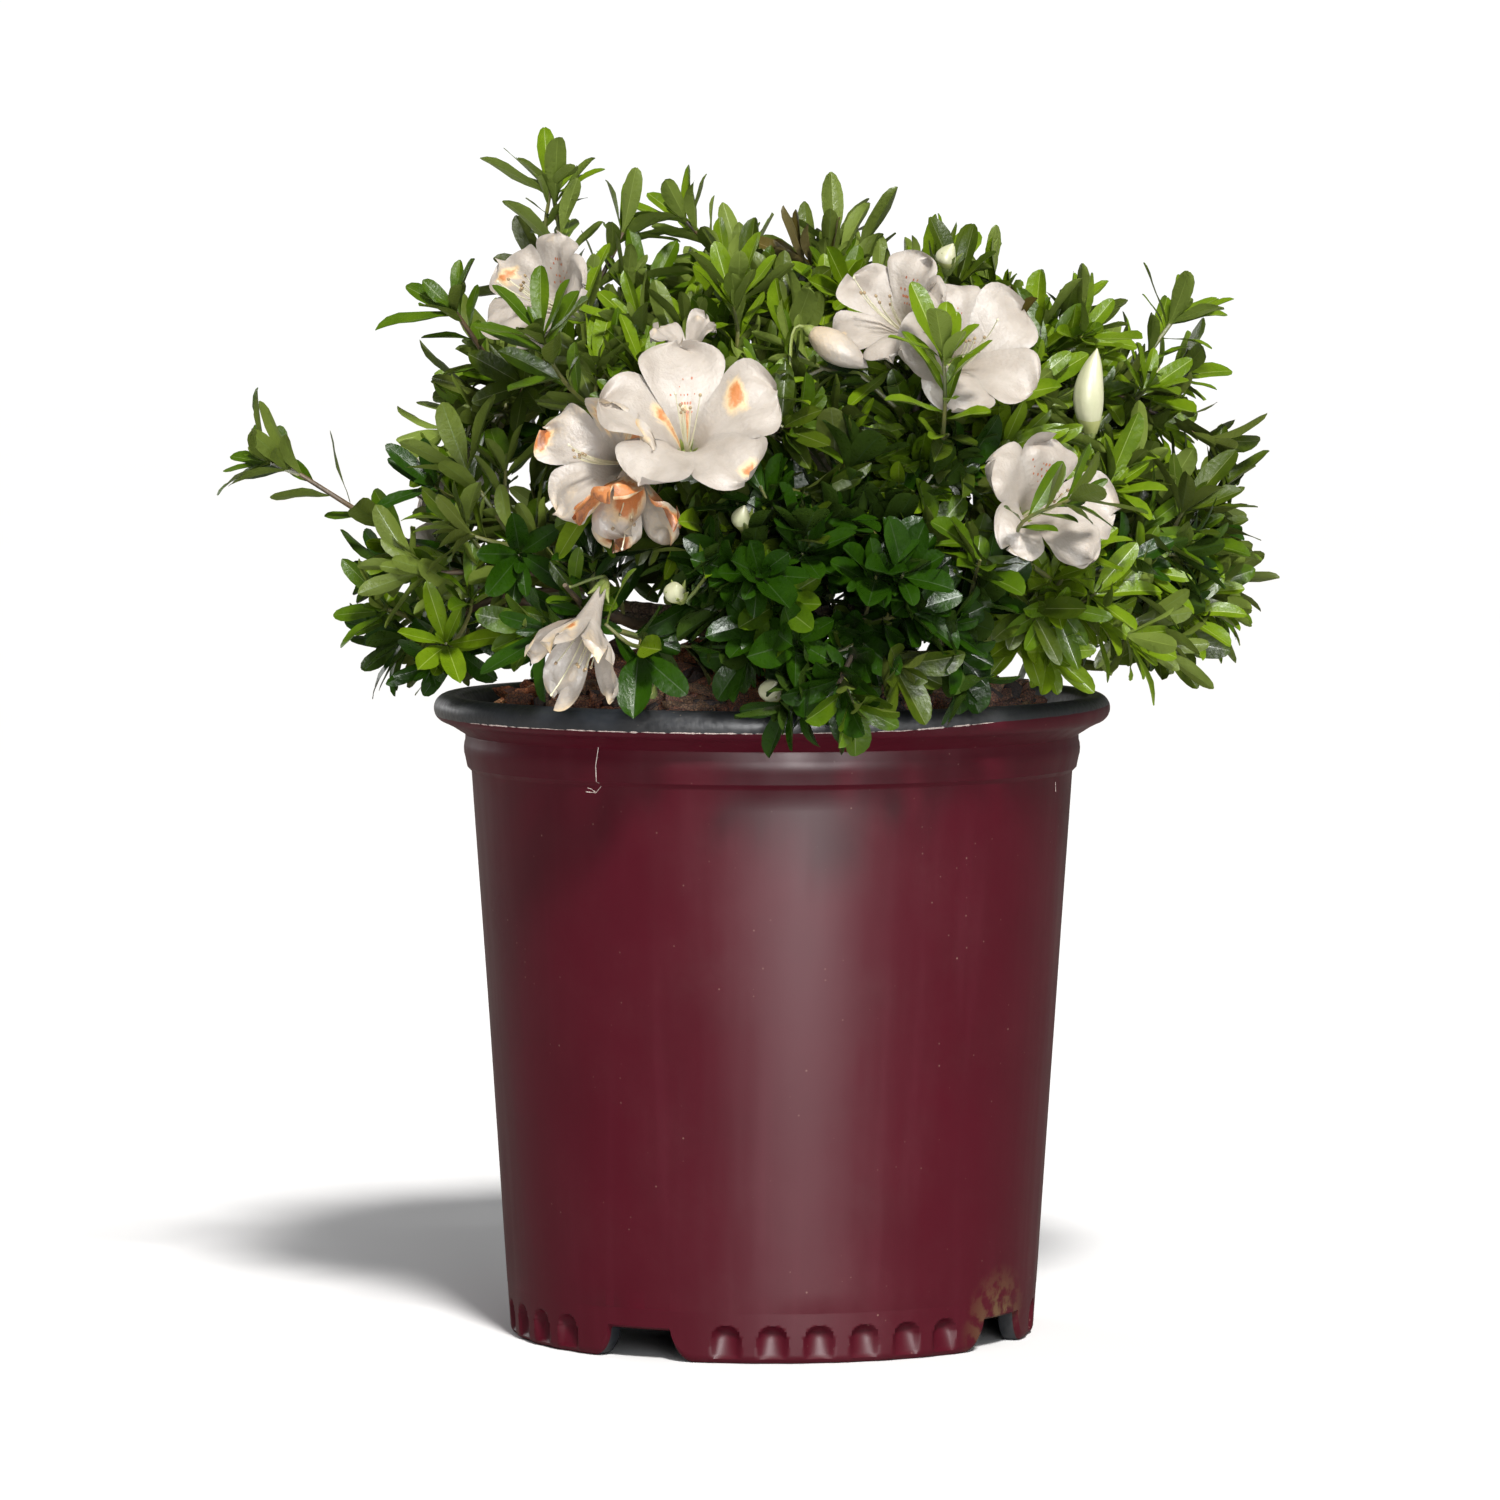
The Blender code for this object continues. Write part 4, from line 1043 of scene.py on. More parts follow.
@dataclass
class Soil:
    """The bark that fills the pot: a rough heap with loose chips on it."""

    pot: Pot
    clearance: float = 0.0008
    edge_top: float = 0.2150
    top: float = 0.2360
    lump: float = 0.0016
    chips: int = 1700
    columns: int = 160
    seed: int = 23

    def height(self, radius: float) -> float:
        """Return the height of the heap at a distance from the axis."""
        share = min(radius / self.pot.inner_radius(self.pot.wall_top), 1.0)
        return self.edge_top + (self.top - self.edge_top) * (1.0 - share**3)

    def heap(self) -> Item:
        """Build the body of the soil, from the pot's floor to its lumpy top."""
        azimuths = np.arange(self.columns) * 360.0 / self.columns
        edge = self.pot.inner_radius(self.pot.wall_top) - self.clearance
        floor = self.pot.floor_top + GAP
        foot = self.pot.inner_radius(self.pot.floor_top) - self.clearance
        rings = [(0.01, floor), (foot, floor), (edge, self.pot.wall_top), (edge, self.edge_top - 0.002)]
        for radius in np.linspace(edge * 0.985, 0.003, 44):
            lumps = []
            for azimuth in azimuths:
                spot = heading(azimuth, 0.0) * radius
                rough = noise.noise(spot * 150.0) + 0.6 * noise.noise(spot * 420.0)
                lumps.append(self.height(radius) - self.lump * (0.9 - 0.8 * rough))
            rings.append((radius, np.array(lumps)))
        stock = Stock()
        stock.add(turned(azimuths, rings))
        return stock.piece("soil_heap", (HEAP,), 50.0)

    def chip(self, chance: random.Random) -> Shape:
        """Build one chip of bark lying on the heap.

        Args:
            chance: Where its size, shape and place come from.

        Returns:
            The points and the faces.
        """
        length = chance.uniform(0.0035, 0.0085) * (1.35 if chance.random() < 0.25 else 1.0)
        half = np.array((length, length * chance.uniform(0.40, 0.75), length * chance.uniform(0.14, 0.30)))
        points = []
        wild = [chance.uniform(0.72, 1.18) for _ in range(8)]
        for level, inset in ((-0.8, 0.80), (0.1, 1.0), (0.9, 0.72)):
            for column in range(8):
                turn = math.tau * (column + chance.uniform(-0.22, 0.22)) / 8.0
                reach = inset * wild[column]
                rise = level + chance.uniform(-0.25, 0.25)
                points.append((reach * math.cos(turn), reach * math.sin(turn), rise))
        points += [(0.0, 0.0, -0.8), (0.1, 0.0, 1.0)]
        shaped = np.array(points) * half
        farthest = self.pot.inner_radius(self.pot.wall_top) - 0.0030 - length
        distance = farthest * math.sqrt(chance.uniform(0.02, 1.0))
        spot = heading(chance.uniform(0.0, 360.0), 0.0) * distance
        spot.z = self.height(distance) + chance.uniform(-0.0012, 0.0012)
        along = Vector((chance.gauss(0.0, 1.0), chance.gauss(0.0, 1.0), chance.gauss(0.0, 0.42))).normalized()
        lean = Vector((chance.gauss(0.0, 0.4), chance.gauss(0.0, 0.4), 1.0))
        upward = (lean - along * lean.dot(along)).normalized()
        axes = np.array([tuple(along), tuple(upward.cross(along)), tuple(upward)])
        return shaped @ axes + np.array(tuple(spot)), capped_grid(3, 8)

    def loose_chips(self) -> Item:
        """Scatter the chips over the heap."""
        chance = random.Random(self.seed)
        stock = Stock()
        for _ in range(self.chips):
            slot = chance.choices((0, 1, 2), (0.52, 0.26, 0.22))[0]
            stock.add(self.chip(chance), slot)
        return stock.piece("soil_chips", [tone.value for tone in ChipTone], 28.0)

    def build(self) -> None:
        """Build the soil's pieces."""
        place(self.heap(), ("soil",), "bark_chips")
        place(self.loose_chips(), ("soil",), "bark_chips")


# ---- Wood ----


@dataclass
class Mass:
    """The middle, the space and the bough of one mass of foliage."""

    number: int
    name: str
    azimuth: float
    elevation: float
    reach: float
    floor: float
    crown_centre: Vector = field(default_factory=lambda: Vector((0.004, 0.0, 0.248)))
    seed_radius: float = 0.120
    bough_reach: float = 0.070

    def __post_init__(self) -> None:
        """Work out the mass's direction, its seed and where its bough ends."""
        self.outward = heading(self.azimuth, self.elevation)
        self.seed = self.crown_centre + self.outward * self.seed_radius
        self.entry = self.crown_centre + self.outward * self.bough_reach
        self.is_low = self.elevation < 20.0
        self.is_top = self.elevation > 70.0


MASSES = tuple(
    Mass(number, *row)
    for number, row in enumerate(
        (
            ("low_front", 8.0, 3.0, 0.97, 0.211),
            ("low_front_right", 52.0, 4.0, 0.97, 0.229),
            ("low_right", 95.0, 4.0, 0.98, 0.229),
            ("low_back_right", 139.0, 4.0, 1.00, 0.222),
            ("low_back", 184.0, 4.0, 0.98, 0.222),
            ("low_back_left", 229.0, 4.0, 0.98, 0.222),
            ("low_left", 272.0, 4.0, 0.92, 0.221),
            ("low_front_left", 317.0, 3.0, 0.96, 0.221),
            ("high_front_left", 340.0, 44.0, 0.95, 0.222),
            ("high_front_right", 38.0, 42.0, 1.00, 0.222),
            ("high_right", 92.0, 38.0, 1.02, 0.222),
            ("high_back_right", 150.0, 44.0, 0.97, 0.222),
            ("high_back_left", 218.0, 44.0, 0.97, 0.222),
            ("high_left", 280.0, 50.0, 0.93, 0.222),
            ("top", 60.0, 84.0, 1.00, 0.222),
        )
    )
)


def bark_ridges(point: Vector) -> float:
    """Return the share by which bark swells at a point: long ridges with fine cracks."""
    ridge = noise.noise(Vector((point.x * 620.0, point.y * 620.0, point.z * 120.0)))
    crack = abs(noise.noise(Vector((point.x * 1500.0, point.y * 1500.0, point.z * 420.0))))
    return 0.10 * ridge - 0.07 * crack


@dataclass
class Wood:
    """The trunk and the boughs that carry the masses."""

    trunk_base: float = 0.2363
    trunk_top: float = 0.2680
    trunk_foot_radius: float = 0.0115
    trunk_radius: float = 0.0090
    trunk_top_radius: float = 0.0068
    flare_height: float = 0.0050
    trunk_sides: int = 28
    bough_sides: int = 14
    bough_collar: float = 0.0015
    bough_radius: float = 0.0031
    bough_tip_radius: float = 0.0022
    bough_rings: int = 5
    low_bough_heights: Span = (0.2465, 0.2510)
    high_bough_height: float = 0.2605

    def radius_at(self, height: float) -> float:
        """Return the radius of the trunk above its root flare."""
        share = (height - self.trunk_base) / (self.trunk_top - self.trunk_base)
        return self.trunk_radius + (self.trunk_top_radius - self.trunk_radius) * share

    def bough_path(self, mass: Mass) -> list[Vector]:
        """Return a bough's line from the trunk to where its mass starts.

        Args:
            mass: The mass that it carries.

        Returns:
            The points of the line, a collar's first.
        """
        if mass.is_top:
            start = Vector((0.0, 0.0, self.trunk_top + GAP))
            leave = Vector((0.0, 0.0, 1.0))
        else:
            height = self.low_bough_heights[mass.number % 2] if mass.is_low else self.high_bough_height
            leave = heading(mass.azimuth, 0.0)
            start = leave * (self.radius_at(height - self.bough_radius) + GAP) + Vector((0.0, 0.0, height))
        collar = start + leave * self.bough_collar
        third = (mass.entry - collar).length / 3.0
        lift = collar + leave * third
        pull = mass.entry - mass.outward * third
        path = [start]
        for step in range(self.bough_rings - 1):
            share = step / (self.bough_rings - 2)
            rest = 1.0 - share
            near = collar * rest**3 + lift * (3.0 * rest**2 * share)
            path.append(near + pull * (3.0 * rest * share**2) + mass.entry * share**3)
        return path

    def trunk(self) -> Item:
        """Build the short trunk, flared at its foot."""
        above = np.linspace(0.0068, self.trunk_top - self.trunk_base, 22)
        heights = np.concatenate([np.linspace(0.0, self.flare_height, 8), above])
        path = [Vector((0.0, 0.0, self.trunk_base + height)) for height in heights]
        radii = []
        for point, height in zip(path, heights):
            flare = max(1.0 - height / self.flare_height, 0.0) ** 2
            radii.append(self.radius_at(point.z) + (self.trunk_foot_radius - self.trunk_radius) * flare)
        stock = Stock()
        stock.add(sweep(path, radii, self.trunk_sides, bark_ridges))
        return stock.piece("trunk_bark", (BARK,), 50.0)

    def bough(self, mass: Mass) -> Item:
        """Build one bough with its bark.

        Args:
            mass: The mass that it carries.

        Returns:
            The piece.
        """
        corners = self.bough_path(mass)
        path = smooth_path(corners, 0.0016)
        fall = (self.bough_tip_radius - self.bough_radius) / (len(path) - 1)
        radii = [self.bough_radius + fall * number for number in range(len(path))]
        stock = Stock()
        stock.add(sweep(path, radii, self.bough_sides, bark_ridges))
        return stock.piece("bark_" + mass.name, (BARK,), 50.0)

    def limbs(self) -> list[tuple[Mass | None, Vector, Vector, float]]:
        """Return each straight stretch of wood with its bearer and its thickness."""
        trunk = (Vector((0.0, 0.0, self.trunk_base)), Vector((0.0, 0.0, self.trunk_top)))
        found = [(None, *trunk, self.trunk_foot_radius)]
        for mass in MASSES:
            path = self.bough_path(mass)
            found += [(mass, low, high, self.bough_radius) for low, high in zip(path, path[1:])]
        return found

    def build(self) -> None:
        """Build the trunk and every bough."""
        place(self.trunk(), ("trunk",), "bark")
        for mass in MASSES:
            place(self.bough(mass), ("bough_" + mass.name,), "bark")


# ---- Blooms ----


@dataclass
class Bloom:
    """A funnel of five ruffled petals, with its stamens, its calyx and its age."""

    base: Vector
    azimuth: float
    elevation: float
    radius: float
    depth: float
    seed: int = 0
    roll: float = 0.0
    wilt: float = 0.0
    age: float = 0.0
    spots: tuple[tuple[int, float, float, float], ...] = ()
    nod: tuple[float, float, float] = (0.0, 0.0, 0.0)
    face: Span | None = None
    size: float = 1.0
    tube_rows: int = 5
    lobe_rows: int = 6
    columns: int = 19
    petals: int = 5
    widest: float = 0.60
    throat: float = 0.45
    margin: float = 0.0025
    shut_radius: float = 0.014

    def __post_init__(self) -> None:
        """Work out the way that the bloom faces and the two directions across it."""
        self.axis = heading(self.azimuth, self.elevation)
        up, beside = frame_about(self.axis)
        turn = math.radians(self.roll)
        self.up = spoke_at(up, beside, turn)
        self.beside = self.axis.cross(self.up)
        self.mass: Mass | None = None

    @property
    def is_bud(self) -> bool:
        """Say whether the bloom is still closed."""
        return self.radius < 0.010

    def opened(self) -> "Bloom":
        """Return the bloom as it nods on its stalk, clear of the tip that bears it."""
        facing = self.face or (self.azimuth, self.elevation)
        base = self.base + Vector(self.nod)
        radius = self.radius * self.size
        return replace(self, base=base, azimuth=facing[0], elevation=facing[1], radius=radius)

    def holds(self, point: Vector) -> bool:
        """Say whether a point lies in the bloom or close to it.

        Args:
            point: The point.

        Returns:
            Whether it does.
        """
        offset = point - self.base
        along = offset.dot(self.axis)
        if along < 0.002 or along > self.depth + self.margin:
            return False
        reach = self.radius * min(along / (self.throat * self.depth), 1.0) + self.margin
        return (offset - self.axis * along).length < reach

    def petal_rows(self) -> list[tuple[float, float, float]]:
        """Return each row's share up the tube, its share along the lobe and how far the lobe has closed."""
        rows = [(step / (self.tube_rows - 1), 0.0, 1.0) for step in range(self.tube_rows)]
        rows += [(1.0, self.widest * (step + 1) / self.lobe_rows, 1.0) for step in range(self.lobe_rows)]
        for angle in np.radians((14.0, 28.0, 41.0, 53.0, 64.0, 73.0, 80.0, 85.0)):
            rows.append((1.0, self.widest + (1.0 - self.widest) * math.sin(angle), math.cos(angle)))
        return rows

    def petal(self, number: int) -> tuple[Shape, np.ndarray]:
        """Build one petal, joined to its neighbours in the tube and free beyond it.

        Args:
            number: Which of the five, from the uppermost one round.

        Returns:
            Its points and faces, and how aged each point is.
        """
        chance = random.Random(self.seed * 11 + number)
        phase = chance.uniform(0.0, math.tau)
        recurve = chance.uniform(0.05, 0.30) - 0.25 * self.wilt
        reach = self.radius * chance.uniform(0.95, 1.04) * (1.0 - 0.16 * self.wilt * chance.random())
        breadth = chance.uniform(0.94, 1.08) * (1.0 - 0.16 * self.wilt)
        askew = chance.uniform(-4.0, 4.0) * (1.0 + 2.0 * self.wilt)
        middle = math.tau * number / self.petals + math.radians(askew)
        ray = self.up * math.cos(middle) + self.beside * math.sin(middle)
        tangent = self.beside * math.cos(middle) - self.up * math.sin(middle)
        throat = 0.27 * self.radius
        points = []
        marks = []
        for tube, free, closing in self.petal_rows():
            radius = 0.0016 + (throat - 0.0016) * tube**1.5 + (reach - throat) * free
            height = self.depth * (0.60 * tube + 0.40 * math.sin(min(free * 1.25, 1.0) * math.pi / 2.0))
            height -= self.depth * recurve * free**2.5
            swell = 0.205 + 0.275 * math.sin(min(free / self.widest, 1.0) * math.pi / 2.0)
            half = self.radius * swell * breadth * closing
            if free == 0.0:
                half = radius * math.tan(math.radians(38.0))
            flat = min(free / 0.30, 1.0)
            for column in range(self.columns):
                across = 2.0 * column / (self.columns - 1) - 1.0
                turn = across * half / max(radius, 0.0016)
                round_place = ray * (radius * math.cos(turn)) + tangent * (radius * math.sin(turn))
                flat_place = ray * radius + tangent * (across * half)
                edge = abs(across) ** 2 + (1.0 - closing) * (1.0 - abs(across))
                crumple = noise.noise(Vector((across * 1.5 + phase, free * 2.2, self.seed * 1.7)))
                ripple = 0.5 * math.sin(across * 9.0 - phase + 7.0 * free)
                wave = (math.sin(across * 4.2 + phase + 3.0 * free) + ripple) * edge * free
                pleat = math.exp(-((across / 0.16) ** 2)) * 4.0 * free * (1.0 - free)
                vein = math.cos(across * 15.0) * (0.25 + 0.75 * free) * closing
                lift = (0.050 + 0.10 * self.wilt) * wave + (0.05 + 0.26 * self.wilt) * crumple * free
                lift += 0.05 * across * free + 0.09 * edge * free - 0.030 * pleat + 0.0060 * vein
                drawn = 1.0 - 0.22 * self.wilt * abs(crumple) * free
                sag = self.radius * 0.24 * self.wilt * free**2
                spot = self.base + (round_place * (1.0 - flat) + flat_place * flat) * drawn
                spot += self.axis * (height + self.radius * lift)
                spot.z -= sag
                points.append(spot)
                aged = self.age + 0.15 * self.wilt * free**3
                aged += 0.95 * self.wilt * max(crumple - 0.08, 0.0) * free
                for petal, spot_along, spot_across, size in self.spots:
                    if petal == number:
                        frayed = 1.0 + 0.6 * noise.noise(Vector((across * 5.0, free * 9.0, phase)))
                        away = math.hypot((free - spot_along) * 1.5, (across - spot_across) * 0.6)
                        aged += 0.72 * min(max(1.0 - away / (size * frayed), 0.0) * 1.6, 1.0)
                marks.append(min(max(aged, 0.0), 1.0))
        array = rows_of(points)
        return (array, grid_faces(len(array) // self.columns, self.columns, False)), np.array(marks)

    def stamens(self, stock: Stock) -> None:
        """Add the stamens with their anthers, and the longer pistil.

        Args:
            stock: Takes the shapes: filaments in slot 1, anthers in slot 2.
        """
        chance = random.Random(self.seed * 13 + 5)
        for number in range(7):
            is_pistil = number == 0
            turn = math.radians(180.0 + chance.uniform(-55.0, 55.0))
            spoke = spoke_at(self.up, self.beside, turn)
            length = self.depth * (1.45 if is_pistil else chance.uniform(0.95, 1.25))
            lean = 0.10 + 0.22 * chance.random()
            start = self.base + self.axis * 0.004 + spoke * 0.0008
            path = []
            for step in range(9):
                share = step / 8.0
                bow = spoke * (lean * length * share) + self.up * (0.16 * length * share**2.5)
                path.append(start + self.axis * (length * share) + bow)
            stock.add(sweep(path, np.linspace(0.00036, 0.00022, 9), 5), 1)
            tip = path[-1]
            ahead = (path[-1] - path[-2]).normalized()
            size = 0.0005 if is_pistil else 0.00058
            knob = [tip + ahead * (size * share) for share in (-1.0, -0.5, 0.6, 1.3)]
            stock.add(sweep(knob, (size * 0.35, size, size * 0.9, size * 0.3), 6), 1 if is_pistil else 2)

    def flecks(self, stock: Stock) -> None:
        """Add the small flecks that lead into the throat on the uppermost petal."""
        chance = random.Random(self.seed * 17 + 3)
        shape, _ = self.petal(0)
        grid = shape[0].reshape(-1, self.columns, 3)
        for _ in range(24):
            row = chance.randint(self.tube_rows - 1, self.tube_rows + 3)
            column = min(max(round(chance.gauss((self.columns - 1) / 2.0, 2.6)), 1), self.columns - 2)
            place_at = Vector(grid[row, column])
            ahead = (Vector(grid[row + 1, column]) - place_at).normalized()
            beside = (Vector(grid[row, column + 1]) - place_at).normalized()
            out = beside.cross(ahead).normalized()
            if out.dot(self.axis) < 0.0:
                out = -out
            size = chance.uniform(0.00018, 0.00042)
            centre = place_at + out * 0.00010
            turns = np.arange(6) * math.tau / 6.0
            ring = [centre + spoke_at(ahead * 1.5, beside, turn) * size for turn in turns]
            disc = [*ring, centre - out * 0.0002, centre + out * 0.00006]
            stock.add((rows_of(disc), capped_grid(1, 6)), 3)

    def cup(self, stock: Stock) -> None:
        """Add the green calyx and its five narrow sepals."""
        back = [self.base + self.axis * along for along in (-0.0030, -0.0014, 0.0006, 0.0030)]
        stock.add(sweep(back, (0.0009, 0.0019, 0.0023, 0.0016), 10), 4)
        for number in range(5):
            turn = math.tau * (number + 0.5) / 5.0
            spoke = spoke_at(self.up, self.beside, turn)
            path = [
                self.base + self.axis * (0.0002 + 0.0022 * step) + spoke * (0.0018 + 0.00025 * step**2)
                for step in range(4)
            ]
            stock.add(sweep(path, (0.0006, 0.0009, 0.0007, 0.0002), 5), 4)

    def bud(self, stock: Stock) -> None:
        """Add the closed petals of a bud, wound round each other to a point."""
        rows, columns = 22, 40
        points = []
        for row in range(rows):
            along = row / (rows - 1)
            belly = math.sin(math.pi * min(along * 0.93 + 0.07, 1.0) ** 0.92) ** 0.75
            for column in range(columns):
                turn = math.tau * column / columns
                wound = turn * 5.0 + along * 4.4
                ridge = 1.0 + 0.085 * abs(math.sin(wound / 2.0)) ** 0.5
                radius = max(self.radius * belly * ridge * 0.92, 0.00035)
                spoke = spoke_at(self.up, self.beside, turn)
                bend = self.beside * (0.0016 * math.sin(along * math.pi))
                points.append(self.base + spoke * radius + bend + self.axis * (self.depth * 1.08 * along))
        points += [self.base, self.base + self.axis * (self.depth * 1.10)]
        is_opening = self.radius > 0.0054
        green_rows = rows * (0.14 if self.depth > 0.02 else 0.36)
        kinds = [0 if is_opening else 5 if row < green_rows else 6 for row in range(rows - 1)]
        slots = np.repeat([*kinds, kinds[0], kinds[-1]], columns)
        marks = np.append(np.repeat(np.linspace(0.34, 0.04, rows), columns), (0.34, 0.04))
        stock.add((rows_of(points), capped_grid(rows, columns)), slots, marks)

    def stalk(self, stock: Stock, foot: Vector) -> None:
        """Add the stalk that joins the bloom to its twig.

        Args:
            stock: Takes the shape.
            foot: Where it leaves the twig.
        """
        back = self.base - self.axis * 0.0026
        span = (back - foot).length
        if span < 0.0012:
            return
        bow = back - self.axis * (0.28 * span)
        path = [
            foot * (1.0 - share) ** 2 + bow * (2.0 * share * (1.0 - share)) + back * share**2
            for share in np.linspace(0.0, 1.0, 9)
        ]
        stock.add(sweep(path, [0.00060] * 8 + [0.00090], 6), 4)

    def build(self, stock: Stock) -> None:
        """Add the whole bloom to a piece.

        Args:
            stock: Takes the shapes.
        """
        self.cup(stock)
        if self.is_bud:
            self.bud(stock)
            return
        for number in range(self.petals):
            shape, marks = self.petal(number)
            stock.add(shape, 0, marks)
        if self.radius > self.shut_radius:
            self.stamens(stock)
        if self.wilt < 0.5:
            self.flecks(stock)


BLOOMS = (
    Bloom(
        Vector((-0.029, -0.120, 0.311)), 3.0, 38.0, 0.0310, 0.0240, 1, -4.0, 0.10, 0.0,
        ((4, 0.42, 0.30, 0.34), (1, 0.08, -0.4, 0.30), (3, 0.86, 0.3, 0.24), (0, 0.0, 0.0, 0.22)),
    ),
    Bloom(
        Vector((-0.061, -0.112, 0.306)), -38.0, 8.0, 0.0260, 0.0220, 2, 10.0, 0.50, 0.10,
        ((0, 0.40, 0.2, 0.56), (4, 0.30, 0.0, 0.85), (1, 0.92, 0.5, 0.40), (3, 0.50, 0.4, 0.60)),
        (0.0135, 0.0, 0.003), (-30.0, 6.0),
    ),
    Bloom(
        Vector((-0.052, -0.126, 0.304)), -14.0, -62.0, 0.0210, 0.0230, 3, 0.0, 0.70, 0.16,
        ((0, 0.60, 0.3, 0.95), (1, 0.60, 0.0, 1.00), (4, 0.70, 0.0, 0.95), (2, 0.90, 0.2, 0.45)),
        (0.006, 0.003, 0.010), (-10.0, -58.0),
    ),
    Bloom(
        Vector((0.044, -0.094, 0.350)), -38.0, 36.0, 0.0270, 0.0220, 4, 12.0, 0.28, 0.0,
        ((2, 0.80, 0.0, 0.20),), (0.004, 0.008, 0.0), (-32.0, 34.0), 0.86,
    ),
    Bloom(
        Vector((0.069, -0.094, 0.346)), 30.0, 24.0, 0.0300, 0.0240, 5, -14.0, 0.14, 0.0,
        (), (-0.0095, 0.0, -0.0065), (20.0, 24.0), 0.88,
    ),
    Bloom(
        Vector((0.092, -0.108, 0.306)), 28.0, -36.0, 0.0260, 0.0230, 6, 20.0, 0.42, 0.02,
        (), (-0.010, 0.0, -0.017), (32.0, 22.0),
    ),
    Bloom(
        Vector((-0.080, -0.062, 0.360)), -62.0, 22.0, 0.0240, 0.0220, 7, 8.0, 0.30, 0.02,
        ((1, 0.60, 0.3, 0.30),), (0.0135, -0.004, -0.002), (-46.0, 26.0),
    ),
    Bloom(
        Vector((-0.070, -0.122, 0.268)), -22.0, -48.0, 0.0160, 0.0300, 8, 0.0, 0.80, 0.04,
        ((0, 0.30, 0.0, 0.30),), (0.013, 0.0, 0.000), (-25.0, -46.0), 1.1,
    ),
    Bloom(Vector((0.108, -0.084, 0.318)), 12.0, 72.0, 0.0070, 0.0280, 9, size=0.76),
)
BUDS = (
    Bloom(Vector((0.0130, -0.104, 0.353)), 80.0, -32.0, 0.0056, 0.0210, 31),
    Bloom(Vector((-0.0285, -0.100, 0.3400)), -14.0, 66.0, 0.0125, 0.0150, 40, 20.0, 0.55),
    Bloom(Vector((-0.031, -0.130, 0.264)), -10.0, 30.0, 0.0036, 0.0085, 32),
    Bloom(Vector((0.000, -0.128, 0.230)), 10.0, 40.0, 0.0040, 0.0090, 33),
    Bloom(Vector((-0.009, -0.132, 0.287)), -5.0, 50.0, 0.0032, 0.0100, 34),
    Bloom(Vector((-0.041, -0.122, 0.232)), -20.0, 35.0, 0.0034, 0.0080, 35),
    Bloom(Vector((0.060, -0.062, 0.374)), 20.0, 60.0, 0.0036, 0.0090, 36),
    Bloom(Vector((0.128, 0.036, 0.330)), 105.0, 40.0, 0.0038, 0.0120, 37),
    Bloom(Vector((-0.020, 0.126, 0.300)), 190.0, 30.0, 0.0040, 0.0110, 38),
    Bloom(Vector((-0.118, 0.050, 0.300)), 248.0, 30.0, 0.0036, 0.0100, 39),
)


# ---- Crown ----


End = tuple[Vector, Bloom | None]


